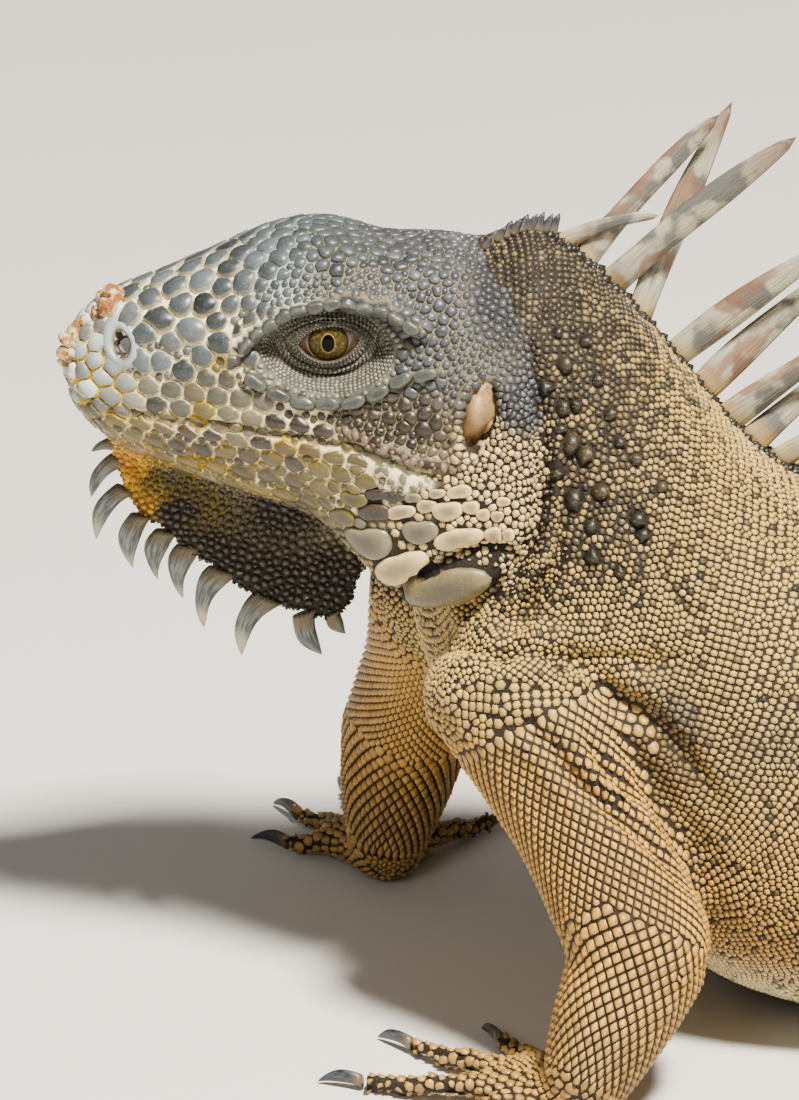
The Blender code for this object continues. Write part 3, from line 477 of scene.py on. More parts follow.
# ---------------------------------------------------------------- folds and hollows
# Lines on the left side of the head: place along it and height.  The first is the groove
# between the chin's plates and the jowl.
JOWL_BAND = ((-18.5, -46.5), (-14.6, -42.1), (-11.1, -38.6), (-7.6, -35.7), (-3.5, -33.2), (1.3, -31.9),
             (6, -31.2))
BROW_LINE = ((-50, 6.6), (-46, 10.6), (-39.6, 15.2), (-29.2, 17.6), (-20, 16), (-13, 12))
UNDER_EYE_LINE = ((-49, 1.6), (-44, -1.4), (-36.4, -3.8), (-28, -3.4), (-22, -1.4),
                  (-16, 2), (-9, 4.2))
CANTHUS_LINE = ((-50, 6.4), (-60, 9.4), (-70, 11))
CORNER_FOLD = ((-29, -8.6), (-20.8, -11.2), (-12.5, -14.1), (-4.6, -15.6))
JOWL_EDGE = ((10, 7), (12.6, -4), (13.2, -16), (11.6, -28), (6, -39), (-2, -46.5),
             (-12, -49))
EAR_FOLD = ((4.6, 4), (6.4, -3), (5.8, -11), (2.6, -15))
THROAT_FOLD = ((18, -4), (19, -18), (16, -34), (8, -47), (-4, -56))
ORBIT_MIDDLE = (-32.0, 6.8)
ORBIT_SIZE = (14.2, 8.4)
# Folds of the body: points on the left, then depth and width.
BODY_FOLDS = (
    (((19, -197, 90), (32, -194, 97), (42, -189, 99), (44, -176, 98), (43, -166, 96),
      (44, -157, 94), (46, -144, 96)), 2.2, 2.2),
    (((43, -176, 99), (42, -169, 94), (44, -163, 88), (47, -155, 82), (49, -150, 76),
      (53, -143, 66), (56, -136, 54)), 2.8, 2.3),
    (((48, -189, 85), (50, -182, 85), (52, -178, 81), (55, -172, 73), (57, -166, 68),
      (58, -157, 59), (60, -151, 51)), 2.0, 1.9),
    (((50, -170, 80), (52, -165, 74), (53, -160, 69)), 2.2, 1.8),
    (((34, -158, 126), (37, -155, 116), (40, -150, 108), (44, -144, 100)), 0.9, 1.8),
)


def ellipse_share(local, middle, halves, lean=0.0):
    """1 on an ellipse seen from the side, less inside it."""
    y, z = local[:, 1] - middle[0], local[:, 2] - middle[1]
    across = y * math.cos(lean) - z * math.sin(lean)
    up = y * math.sin(lean) + z * math.cos(lean)
    return np.hypot(across / halves[0], up / halves[1])


def off_nostril(local, along=1.0, up=1.0):
    """How far from the nostril's middle, in units given along the head and upward."""
    return np.hypot((local[:, 1] - NOSTRIL_PLACE[0]) / along, (local[:, 2] - NOSTRIL_PLACE[1]) / up)


def side_line(local, line):
    return way_off(local[:, 1:], line)


def shifted(line, along, up):
    return tuple((y + along, z + up) for y, z in line)


def bump(off, width):
    return np.exp(-(off / width) ** 2)


def mouth_height(y):
    """Height of the lips' parting, for places along the head."""
    return np.interp(y, *np.array(MOUTH_LINE).T)


def head_relief(local, facing):
    """How far the head's skin stands out or lies in, over its solids."""
    side = soft_step(3.0, 8.0, np.abs(local[:, 0])) * soft_step(0.0, 0.35, facing)
    relief = np.zeros(len(local))
    for line, height, width in ((BROW_LINE, 3.0, 2.1), (shifted(BROW_LINE, 0.0, -2.6), -1.5, 1.1),
                                (JOWL_BAND, -2.4, 1.0), (UNDER_EYE_LINE, 1.1, 1.6), (CANTHUS_LINE, 0.7, 2.4)):
        relief += height * bump(side_line(local, line)[0], width) * side
    mouth = np.abs(local[:, 2] - mouth_height(local[:, 1]))
    mouth = np.where(local[:, 1] < MOUTH_LINE[-1][0], mouth, 9.0)
    relief += 0.4 * bump(mouth - 2.4, 1.5) - 0.8 * bump(mouth, 0.6)
    off, share = side_line(local, CORNER_FOLD)
    fade = np.sin(np.pi * np.clip(share, 0.03, 0.97))
    relief += 1.5 * side * fade * bump(off, 1.4)
    off, share = side_line(local, shifted(CORNER_FOLD, 0.0, -2.3))
    relief -= 1.3 * side * fade * bump(off, 0.9)
    off, share = side_line(local, JOWL_EDGE)
    fade = np.sin(np.pi * np.clip(share, 0.04, 0.96)) ** 0.6
    relief += side * fade * (1.3 * bump(off - 3.4, 2.0) - 3.2 * bump(off, 1.6))
    off, share = side_line(local, EAR_FOLD)
    relief += side * np.sin(np.pi * share) * 2.1 * bump(off, 1.5)
    off, share = side_line(local, THROAT_FOLD)
    relief += side * np.sin(np.pi * share) * (1.2 * bump(off - 3.0, 1.8) - 2.6 * bump(off, 1.7))
    ear = ellipse_share(local, EAR_PLACE[1:], EAR_SIZE, EAR_LEAN)
    ahead = soft_step(1.5, -2.5, local[:, 1] - EAR_PLACE[1] + 0.3 * (local[:, 2] - EAR_PLACE[2]))
    hollow, rim = soft_step(1.14, 0.8, ear), bump(ear - 1.34, 0.24)
    relief += side * (-5.6 * hollow * (0.45 + 0.55 * ahead) + 1.3 * ahead * rim)
    relief += side * -3.4 * bump(off_nostril(local), 1.5)
    shield = ellipse_share(local, (-6.0, -42.6), (13.0, 6.4), math.radians(-23.0))
    relief += side * 1.1 * soft_step(1.2, 0.6, shield)
    return relief


def fold_relief(places):
    """Folds of neck, shoulder and flank, and the slack of the skin between them."""
    left = on_left(places)
    relief = np.zeros(len(places))
    near = left[:, 1] < -110.0
    for line, depth, width in BODY_FOLDS:
        off, share = way_off(left[near], line)
        fade = np.sin(np.pi * np.clip(share, 0.02, 0.98)) ** 0.5
        relief[near] += fade * depth * (0.5 * bump(off - 2.1 * width, 1.2 * width) - bump(off, width))
    relief += 0.35 * cloud(places, 14.0) + 0.5 * cloud(places, 34.0, 7.0)
    return relief


# ---------------------------------------------------------------- the skin
def rounded(places, edges, times):
    """Smooths without shrinking: each step in is followed by a step back out."""
    for _ in range(times):
        places = eased(places, edges, 1, 0.55)
        places = eased(places, edges, 1, -0.57)
    return eased(places, edges, 1, 0.5)


def rough_skin():
    """All the flesh as one closed mesh of even squares."""
    bm = bmesh.new()
    first, last = HEAD_SECTIONS[0][0], HEAD_SECTIONS[-1][0]
    places = first + (last - first) * np.linspace(0.0, 1.0, 70) ** 1.25
    head = grid_of(head_surface, places, np.arange(96) / 96)
    front = np.broadcast_to((0.0, first - 0.6, -2.0), head[:1].shape)
    back = np.broadcast_to((0.0, last + 2.5, -12.0), head[:1].shape)
    head = np.concatenate([front, head, back])
    add_shape(bm, wrapped(grid_from_head(head)))
    add_shape(bm, wrapped(grid_from_head(dewlap_grid())))
    add_shape(bm, wrapped(grid_of(body_surface, np.linspace(0, BODY_LAST, 150), np.arange(120) / 120)))
    add_shape(bm, wrapped(grid_of(tail_surface, np.linspace(0, 1, 260), np.arange(40) / 40)))
    for name in LIMB_NODES:
        add_shape(bm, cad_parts[name].data)
    for kind in ("hand", "foot"):
        for side in ("left", "right"):
            for number in range(5):
                add_shape(bm, digit_tube(kind, side, number))
    bmesh.ops.remove_doubles(bm, verts=bm.verts, dist=JOIN)
    mesh = mesh_of("rough_skin", bm)
    rough = bpy.data.objects.new("rough_skin", mesh)
    bpy.context.scene.collection.objects.link(rough)
    step = rough.modifiers.new("even squares", "REMESH")
    step.mode = "VOXEL"
    step.voxel_size = size("skin_cell") * MM
    seen = rough.evaluated_get(bpy.context.evaluated_depsgraph_get())
    made = bpy.data.meshes.new_from_object(seen)
    bpy.data.objects.remove(rough)
    bpy.data.meshes.remove(mesh)
    return made


def digit_line(kind, side, number, shares):
    """Points along the middle of a finger or toe, from the palm to the claw, and its heading."""
    root, tip = claw_ends(f"claw_{kind}_{side}_{number + 1}")
    way = unit((tip - root) * (1, 1, 0))
    reach, width = DIGIT_LENGTHS[kind][number], DIGIT_WIDTH[kind]
    start = (root - way * (reach + width * 0.4 + 0.3)) * (1, 1, 0)
    t = np.asarray(shares, float)
    lift = 2.6 * np.sin(np.pi * np.minimum(t * 1.25, 1.0)) ** 2 * (1 - 0.4 * t)
    height = width * (1 - 0.15 * t) - 0.2 + lift + 1.5 * (1 - t) ** 3
    return start + way * (t * (reach + 2.2))[:, None] + np.outer(height, (0.0, 0.0, 1.0)), way


def digit_tube(kind, side, number):
    """A finger or toe with its knuckles, round and closed."""
    shares = np.linspace(-0.06, 1.0, 22)
    line, way = digit_line(kind, side, number, shares)
    across = np.array((way[1], -way[0], 0.0))
    turns = 2 * np.pi * np.arange(14) / 14
    knuckles = 1 + 0.1 * np.cos(2 * np.pi * 3 * shares)
    ends = np.sqrt(np.clip(1 - ((shares - 0.93) / 0.075) ** 2, 0.1, 1.0))
    width = DIGIT_WIDTH[kind] * (1.16 - 0.3 * shares) * knuckles * np.where(shares > 0.93, ends, 1.0)
    rings = (line[:, None] + across * (width[:, None] * np.cos(turns))[..., None]
             + np.array((0.0, 0.0, 1.0)) * (width[:, None] * np.sin(turns))[..., None])
    return wrapped(rings)


def refine(mesh, wanted):
    """Splits the squares whose middles are wanted, for the finer forms of the head."""
    bm = bmesh.new()
    bm.from_mesh(mesh)
    middles = np.array([f.calc_center_median() for f in bm.faces]) / MM
    chosen = wanted(middles)
    edges = {e for f, take in zip(bm.faces, chosen) if take for e in f.edges}
    bmesh.ops.subdivide_edges(bm, edges=list(edges), cuts=1, use_grid_fill=True)
    bm.to_mesh(mesh)
    bm.free()


def near_head(places):
    """Which places have the finer squares of the head."""
    local = to_head(places)
    return (local[:, 1] < 17.0) & (local[:, 2] > -70.0) & (np.abs(local[:, 0]) < 42.0)


def make_skin():
    """The skin, with its folds and hollows, and the trees that find places on it."""
    mesh = rough_skin()
    places = rounded(places_of(mesh), edges_of(mesh), 6)
    set_places(mesh, places)
    refine(mesh, near_head)
    places, edges = places_of(mesh), edges_of(mesh)
    head = soft_step(20.0, 14.0, to_head(places)[:, 1])
    places = eased(places, edges, 3, 0.5, head)
    places[:, 2] = np.maximum(places[:, 2], 0.0)
    set_places(mesh, places)
    normals = normals_of(mesh)
    local, out = to_head(places), normals @ HEAD_AXES
    relief = head * head_relief(local, out[:, 0] * np.sign(local[:, 0])) + fold_relief(places)
    lift = soft_step(0.0, 3.0, places[:, 2])
    coat = size("coat") * (0.45 + 0.55 * soft_step(9.0, 20.0, places[:, 2]))
    places = places + normals * ((relief - coat) * lift)[:, None]
    set_places(mesh, places)
    MADE["whole"] = tree_of(mesh)
    local = to_head(places)
    hollow = ellipse_share(local, ORBIT_MIDDLE, ORBIT_SIZE)
    deep = soft_step(1.0, 0.84, hollow) * (np.abs(local[:, 0]) > 9.0) * (local[:, 1] < 10.0)
    local[:, 0] = np.sign(local[:, 0]) * (np.abs(local[:, 0]) * (1 - deep) + 10.8 * deep)
    places = np.where(deep[:, None] > 0, from_head(local), places)
    set_places(mesh, places)
    mesh.shade_smooth()
    MADE["tree"] = tree_of(mesh)
    MADE["skin"] = new_piece("skin", mesh, replaces=FLESH)


def tree_of(mesh):
    bm = bmesh.new()
    bm.from_mesh(mesh)
    tree = BVHTree.FromBMesh(bm)
    bm.free()
    return tree


# ---------------------------------------------------------------- seeds of the scales
FORMS = ("bead", "keel", "plate", "cone", "shield")


def laid(lie, normal):
    """The ways that scales lie, turned to be square to the normals."""
    return unit(lie - normal * np.sum(lie * normal, axis=1, keepdims=True))


class Seeds:
    """Where every scale stands, how it lies, its half length, half width and height."""

    def __init__(self):
        self.groups = []

    def add(self, piece, form, hits, lie, long, wide, tall, at=None):
        """Adds scales of one form at the hits, which are places, normals and which of them count."""
        place, normal, found = hits
        count = found.sum()
        if not count:
            return
        place, normal, lie = place[found], normal[found], lie[found]
        full = [np.broadcast_to(np.asarray(v, float), len(found))[found] for v in (long, wide, tall)]
        unwrapped = np.zeros((count, 2)) if at is None else at[found]
        self.groups.append({
            "place": place, "normal": normal, "lie": laid(lie, normal), "long": full[0], "wide": full[1],
            "tall": full[2], "form": np.full(count, FORMS.index(form)),
            "piece": np.full(count, piece, dtype=object), "map": unwrapped})

    def joined(self):
        keys = self.groups[0].keys()
        return {key: np.concatenate([g[key] for g in self.groups]) for key in keys}


def gathered(points, hits):
    """Places and normals of the hits, and which of the points have one."""
    places, normals = np.array(points, float), np.zeros((len(points), 3))
    found = np.zeros(len(points), bool)
    for i, (place, normal, _, _) in enumerate(hits):
        if place is not None:
            places[i], normals[i], found[i] = np.array(place) / MM, normal, True
    return places, normals, found


def on_skin(points, reach):
    """The nearest places on the skin, their normals, and which points have one within reach."""
    return gathered(points, (MADE["tree"].find_nearest(Vector(p) * MM, reach * MM) for p in points))


def shot(origins, ways, reach, tree="tree"):
    """Where lines that start inside or beside the skin meet it."""
    return gathered(origins, (MADE[tree].ray_cast(Vector(origin) * MM, Vector(way), reach * MM)
                              for origin, way in zip(origins, ways)))


def search_tree(places):
    """A tree that finds the nearest of the places."""
    tree = KDTree(len(places))
    for k, place in enumerate(places):
        tree.insert(place, k)
    tree.balance()
    return tree


def cell_of(place, side):
    return tuple(int(v // side) for v in place)


def cells_near(cell, reach=1):
    """A cell of a grid and those round it."""
    steps = range(-reach, reach + 1)
    return ((cell[0] + dx, cell[1] + dy, cell[2] + dz) for dx in steps for dy in steps for dz in steps)


# The head's own scales end on this line, and the neck's rows begin: height, place along.
HEAD_EDGE = ((-62, -34), (-50, -12), (-42, 4), (-30, 12), (-18, 14), (0, 13),
             (10, 10), (18, 5), (26, -4))


def on_head(local):
    """Which places, in the head's axes, bear the head's own scales."""
    edge = np.interp(local[:, 2], *np.array(HEAD_EDGE).T)
    low = (local[:, 2] < -62.0) | (np.abs(local[:, 0]) > 40.0)
    return (local[:, 1] < edge) & ~low


def trunk_scales(seeds, chance):
    """Rows of beads over neck and trunk, that lean back as they climb."""
    dense = np.linspace(0.0, BODY_LAST, 900)
    line = body_surface(dense, np.full(900, 0.1))
    run = run_along(line)
    stretch = read(((0.0, 0.0), (7.0, 0.0), (8.5, 1.5), (10.0, 1.35), (12.5, 0.7), (16.0, 0.0)), dense)[:, 0]
    fine, coarse = size("chest_scale"), size("flank_scale")
    here = 0.0
    turns = np.linspace(-0.25, 0.25, 260)
    while here < run[-1]:
        at = np.interp(here, run, dense)
        pitch = fine + (coarse - fine) * soft_step(9.2, 11.5, at)
        lean = np.interp(at, dense, stretch)
        rows = np.clip(at + lean * np.sin(2 * np.pi * turns), 0.0, BODY_LAST)
        points = body_surface(rows, turns)
        ahead = body_surface(np.clip(rows + 0.05, 0, BODY_LAST + 0.05), turns) - points
        arc = run_along(points)
        marks = np.arange(chance.random() * pitch, arc[-1], pitch * 0.97)
        left, lie = read_line(marks, arc, points), read_line(marks, arc, ahead)
        turn = np.interp(marks, arc, turns)
        left += unit(lie) * (chance.normal(size=(len(marks), 1)) * pitch * 0.05)
        for side in (1, -1):
            place, normal, found = on_skin(left * (side, 1, 1), 5.0)
            found &= ~on_head(to_head(place)) & (place[:, 2] > 0.8) & (np.abs(place[:, 0]) > 0.4 * pitch)
            found &= normal[:, 2] > -0.93
            name = "neck" if at < 4.6 else "chest" if at < 9.4 else "flank" if at < 12.0 else "rump"
            name = f"{name}_{'left' if side > 0 else 'right'}"
            chart = np.stack([np.full(len(marks), here / run[-1]), turn + 0.5], axis=1)
            seeds.add(name, "bead", (place, normal, found), lie * (side, 1, 1),
                      pitch / 2, pitch * 0.49, pitch * 0.33, chart)
        here += pitch


def limb_scales(seeds, piece, start, end, width, pitch, spread=(0.0, 1.0), tall=0.2, row=0):
    """Staggered rings of keeled scales round one length of a limb, as lozenges."""
    start, end = np.array(start, float), np.array(end, float)
    way = unit(end - start)
    across = unit(np.cross(way, (0.0, 0.0, 1.0)) if abs(way[2]) < 0.95 else np.array((1.0, 0.0, 0.0)))
    up = np.cross(across, way)
    span = np.linalg.norm(end - start)
    count = int(round(2 * math.pi * width / pitch))
    rings = int(span * (spread[1] - spread[0]) / (pitch * 0.6)) + 2
    share = np.linspace(*spread, rings)[:, None] + np.zeros(count)
    turn = (np.arange(count) + 0.5 * (np.arange(rings) % 2)[:, None]) / count
    out = (across * np.cos(2 * np.pi * turn)[..., None] + up * np.sin(2 * np.pi * turn)[..., None])
    origin = start + way * (span * share)[..., None]
    place, normal, found = shot(origin.reshape(-1, 3), out.reshape(-1, 3), width * 1.4)
    grid = place.reshape(rings, count, 3)
    wide = 0.25 * np.linalg.norm(np.roll(grid, -1, axis=1) - np.roll(grid, 1, axis=1), axis=2)
    long = np.linalg.norm(np.gradient(grid, axis=0), axis=2)
    wide = np.clip(wide, 0.35 * pitch, 0.6 * pitch).ravel()
    long = np.clip(long, 0.42 * pitch, 0.72 * pitch).ravel()
    found &= (place[:, 2] > 0.8) & (np.sum(normal * out.reshape(-1, 3), axis=1) > 0.25)
    chart = np.stack([(row + share.ravel()) / 6.0, turn.ravel() % 1.0], axis=1)
    seeds.add(piece, "keel", (place, normal, found), np.broadcast_to(way, place.shape),
              long, wide, pitch * tall, chart)


def claw_ends(name):
    """Root and tip of a claw, from its solid."""
    flat = places_of(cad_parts[name].data)
    tip = flat[np.argmin(flat[:, 2])]
    off = np.linalg.norm(flat - tip, axis=1)
    root = flat[off > off.max() - 1.0].mean(axis=0)
    return root, tip


def digit_scales(seeds, kind, side, number, pitch):
    """Rings of plates round a finger or toe, the widest on its back."""
    reach, width = DIGIT_LENGTHS[kind][number], DIGIT_WIDTH[kind]
    rings = int((reach + 2.0) / pitch)
    shares = (np.arange(rings) + 0.5) / rings
    line, way = digit_line(kind, side, number, shares)
    across = np.array((way[1], -way[0], 0.0))
    count = 9
    for k, middle in enumerate(line):
        turn = (np.arange(count) + 0.5 * (k % 2)) / count
        out = (across * np.cos(2 * np.pi * turn)[:, None]
               + np.array((0, 0, 1.0)) * np.sin(2 * np.pi * turn)[:, None])
        place, normal, found = shot(np.broadcast_to(middle, out.shape), out, width * 2.2)
        found &= place[:, 2] > 0.7
        chart = np.stack([np.full(count, (number + shares[k]) / 5.0), turn], axis=1)
        seeds.add("paws", "keel", (place, normal, found), np.broadcast_to(way, out.shape),
                  pitch * 0.6, 2 * math.pi * width / count * 0.58, pitch * 0.28, chart)


def leg_and_arm_scales(seeds):
    """Scales of arms, legs, palms and digits, on both sides."""
    arm, leg, paw = size("arm_scale"), size("leg_scale"), size("paw_scale")
    for side in ("left", "right"):
        for kind, joints in (("hand", ARM_JOINTS[side]), ("foot", LEG_JOINTS[side])):
            for number in range(5):
                digit_scales(seeds, kind, side, number, paw)
            first = claw_ends(f"claw_{kind}_{side}_3")
            way = unit((first[1] - first[0]) * (1, 1, 0))
            palm = np.array(joints[2]) * (1, 1, 0) + (0, 0, 4.8)
            limb_scales(seeds, "paws", palm - way * 3, palm + way * (PALM_LENGTH[kind] + 6),
                        9.5, paw * 1.15, row=4)
        shoulder, elbow, wrist = ARM_JOINTS[side]
        limb_scales(seeds, f"arms_{side}", elbow, wrist, FOREARM_WIDTH, arm * 0.9, (-0.15, 1.05), row=1)
        limb_scales(seeds, f"arms_{side}", shoulder, elbow, ARM_WIDTH, arm * 0.8, (0.2, 1.2), row=2)
        hip, knee, ankle = LEG_JOINTS[side]
        limb_scales(seeds, f"legs_{side}", knee, ankle, SHIN_WIDTH, leg * 0.9, (-0.2, 1.1), row=1)
        limb_scales(seeds, f"legs_{side}", hip, knee, THIGH_WIDTH, leg, (0.1, 1.2), row=2)


def tail_scales(seeds):
    """Whorls of long keeled scales along the tail."""
    pitch = size("tail_scale")
    turns = np.linspace(0.0, 1.0, 160)
    share = 0.002
    row = 0
    while share < 0.995:
        half = read(TAIL_SECTIONS, share)[0, 0]
        step = max(pitch * min(1.0, half / 14.0) ** 0.5, 1.6)
        shares = np.full(len(turns), share)
        ring = tail_surface(shares, turns)
        arc = run_along(ring)
        count = max(6, int(round(arc[-1] / (step * 0.68))))
        marks = (np.arange(count) + 0.5 * (row % 2)) / count * arc[-1]
        turn = np.interp(marks, arc, turns)
        way = tail_surface(shares[:1] + 0.004, turns[:1])[0] - ring[0]
        place, normal, found = on_skin(read_line(marks, arc, ring), 3.0)
        found &= place[:, 2] > 0.7
        chart = np.stack([np.full(count, share), turn], axis=1)
        seeds.add("tail", "keel", (place, normal, found), np.broadcast_to(way, place.shape), step * 0.52,
                  arc[-1] / count * 0.5, step * 0.13, chart)
        share += step / TAIL_LENGTH
        row += 1


# ---------------------------------------------------------------- the head's plates
def mouth_row(first, last, above):
    """A line that keeps one height over or under the lips' parting."""
    places = np.linspace(first, last, 12)
    return tuple(zip(places, mouth_height(places) + above))


# Rows of plates: the line they stand on, how many, half length, half width, height.
HEAD_CHAINS = (
    (mouth_row(-84.5, -30, 2.5), 11, 2.6, 2, 0.95, "plate"),
    (mouth_row(-81, -28, 6.4), 11, 2.5, 1.9, 0.9, "plate"),
    (mouth_row(-83.5, -13, -2.3), 14, 2.7, 1.8, 0.9, "plate"),
    (mouth_row(-80, -12, -6.2), 14, 2.6, 2, 0.9, "plate"),
    (mouth_row(-75, -30, -10.8), 8, 3, 2.3, 0.95, "plate"),
    (mouth_row(-65, -33, -15.8), 6, 3, 2.4, 0.9, "plate"),
    (CORNER_FOLD, 12, 1.15, 1, 0.4, "bead"),
    (shifted(CORNER_FOLD, 0.4, 2.4), 11, 1.25, 1.05, 0.6, "plate"),
    (BROW_LINE, 12, 1.95, 1.3, 1.1, "shield"),
    (UNDER_EYE_LINE, 8, 2.75, 1.35, 1.5, "shield"),
    (shifted(CANTHUS_LINE, 0, 0.4), 3, 4.2, 2.9, 1.2, "plate"),
)
# Single plates of the jowl: place along, height, half length, half width, lean in degrees, paint.
JOWL_PLATES = (
    (-23.4, -34, 6.2, 3.8, 14, "jowl_brown"), (-12.5, -29.4, 4.1, 2.6, 15, "jowl_brown"),
    (-17, -39, 8, 3.1, 33, "jowl"), (-4.6, -30, 5.8, 2.2, 18, "jowl"),
    (-6.6, -41.6, 10.8, 4.4, 22, "shield"), (2.7, -28.6, 1.9, 1.8, 6, "jowl"),
    (5.9, -28.4, 1.3, 1.5, 4, "jowl"), (-6.8, -24.1, 3.4, 2, 12, "jowl"),
    (-11.1, -23.4, 2.3, 1.4, 10, "jowl"), (-16.5, -25.4, 3.5, 1.5, 18, "jowl"),
    (-21.9, -26.3, 3.9, 1.9, 14, "cheek"), (-28.6, -29, 3.7, 2.2, 20, "chin"),
    (-1.9, -22.8, 1.9, 1.4, 4, "jowl"), (-26.2, -24, 3.3, 1.8, 6, "chin"),
    (-21.5, -22.1, 2.8, 1.3, 8, "cheek"), (-17.6, -22.2, 2.3, 1.1, 8, "cheek"),
    (-13.9, -21.9, 1.9, 1, 8, "jowl_brown"), (-4.2, -19.8, 2.8, 1.4, 10, "jowl"),
    (0.6, -24.2, 1.5, 1.3, 6, "jowl"), (3.5, -24.4, 1.4, 1.2, 4, "jowl"),
    (-9, -20.5, 1.9, 1, 8, "jowl"), (4.7, -21.2, 1.5, 1, 4, "jowl"))
# How big the other plates are: place along, height, half width.
HEAD_GRAIN = (
    (-86, 1, 2), (-80, 10, 2.1), (-72, 14, 2.8), (-60, 18, 3), (-50, 20, 2.8), (-60, 6, 2.5),
    (-54, 2, 2), (-44, 25, 2.3), (-48, 14, 1.9), (-42, 18, 1.15), (-34, 20, 1), (-26, 20, 1),
    (-18, 18, 1.15), (-30, 25, 1.9), (-18, 24, 1.6), (-8, 23, 1.2),
    (2, 18, 0.95), (-12, 14, 1.3), (-8, 6, 1.2), (-14, 1, 1.35), (-26, -7, 1.2), (-34, -6, 1.1),
    (-42, -4, 1.3), (-12, -7, 1.7), (-16, -10, 1.5), (-5, -8, 1.1), (-2, -14, 0.9), (3, -22, 0.95),
    (8, -10, 0.85), (9, 4, 0.85), (-2, 5, 0.9), (-10, -20, 1.1), (-20, -22, 1.5), (-35, -28, 1.7),
    (-50, -30, 1.1), (-60, -40, 0.9), (-40, -50, 0.95), (-76, -28, 0.8), (-22, -50, 0.9), (4, -34, 0.95),
    (-5, -52, 1), (-50, -40, 0.95), (-38, -38, 1))
# What colour they are: plate, skin between, then places along, heights and shares of yellow stain.
HEAD_TONES = (
    ("slate_pale", "yellow", (-87, -1, 0), (-80, -4, 0.1)),
    ("slate_pale", "grout", (-80, 9, 0.15)),
    ("slate", "grout", (-71, 14, 0.05), (-58, 18, 0), (-66, 3, 0.1), (-57, 6, 0), (-40, 3, 0)),
    ("slate", "slate_pale", (-44, 25, 0)),
    ("slate", "jowl_brown", (-30, 26, 0)),
    ("lip", "grout", (-54, -1, 0.55), (-66, -5, 0.45), (-50, -6, 0.25)),
    ("cheek", "grout", (-38, -7, 0), (-60, -14, 0.4), (-42, -14, 0.5)),
    ("cheek", "jowl_brown", (-26, -7, 0), (-15, -8, 0)),
    ("temple", "jowl_brown", (-14, 6, 0), (-6, 14, 0), (-4, 4, 0), (-18, 19, 0), (-10, 23, 0)),
    ("temple", "crease", (2, 16, 0), (9, -2, 0)),
    ("chin", "grout", (-76, -13, 0.55), (-28, -17, 0.3), (-62, -21, 0.6), (-44, -23, 0.35),
     (-30, -25, 0.1)),
    ("jowl_brown", "grout", (-16, -20, 0)),
    ("jowl", "crease", (-8, -22, 0), (3, -22, 0), (4, -12, 0), (10, -20, 0), (-13, -29, 0), (-4, -29, 0),
     (-17, -39, 0), (6, -34, 0)),
    ("jowl_brown", "crease", (-24, -33, 0)),
    ("shield", "crease", (-4, -41, 0)),
    # The dewlap's colour also holds painted shade.
    ("dewlap", "crease", (-42, -34, 0), (-60, -33, 0.1), (-60, -46, 0), (-44, -54, 0), (-30, -52, 0),
     (-68, -30, 0.2), (-66, -36, 0)),
    ("orange", "orange", (-75, -27, 0.9)),
    ("orange", "crease", (-72, -36, 0.1)),
    ("nape", "crease", (-20, -48, 0), (-5, -54, 0)),
)


def spread_over(local, spots, values, power=5.0):
    """Mixes the spots' values over the head, the nearest spot counting most."""
    off = np.hypot(local[:, 1, None] - spots[:, 0], local[:, 2, None] - spots[:, 1]) + 0.5
    weight = off ** -power
    weight /= weight.sum(axis=1, keepdims=True)
    return weight @ values


def head_grain(local):
    """Half width of the plates, for places on the head."""
    rows = np.array(HEAD_GRAIN, float)
    return spread_over(local, rows[:, :2], rows[:, 2])


def head_tones(local, chance):
    """Colour of the plates and of the skin between them, for places on the head."""
    rows = [(*spot, paints(plate), paints(skin)) for plate, skin, *spots in HEAD_TONES for spot in spots]
    along, up, stains, plates, skins = (np.array(column, float) for column in zip(*rows))
    spots = np.column_stack([along, up])
    wavy = local + 1.6 * np.stack([0 * local[:, 0], cloud(local, 6.0), cloud(local, 6.0, 9.0)], axis=1)
    tone, gap, stain = (spread_over(wavy, spots, values) for values in (plates, skins, stains[:, None]))
    patch = np.clip(stain * (0.55 + 2.4 * cloud(local, 6.0, 3.0)[:, None]), 0.0, 1.0)
    gap = gap * (1 - np.clip(1.4 * patch, 0, 1)) + paints("yellow") * np.clip(1.4 * patch, 0, 1)
    tone = tone * (1 - 0.16 * patch) + paints("yellow") * 0.16 * patch
    uneven = 0.26 + 0.24 * soft_step(-40.0, -56.0, local[:, 1:2]) * soft_step(-30.0, -14.0, local[:, 2:3])
    shade = np.exp(uneven * chance.normal(size=(len(local), 1)) + 0.15 * cloud(local, 9.0, 5.0)[:, None])
    return np.clip(tone * np.clip(shade, 0.3, 1.7), 0.0, 1.0), gap


def chain_places(line, count):
    """Places set evenly along a line, and its heading there."""
    line = np.array(line, float)
    arc = run_along(line)
    marks = (np.arange(count) + 0.5) / count * arc[-1]
    ahead, behind = (read_line(np.clip(marks + step, 0, arc[-1]), arc, line) for step in (1.0, -1.0))
    return read_line(marks, arc, line), ahead - behind


def from_side(flat, side, tree="tree"):
    """Where lines across the head meet its skin, at places given along it and in height."""
    origins = np.column_stack([np.full(len(flat), side * BESIDE_HEAD), flat])
    ways = np.broadcast_to(HEAD_AXES @ np.array((-side, 0.0, 0.0)), origins.shape)
    return shot(from_head(origins), ways, BESIDE_HEAD, tree)


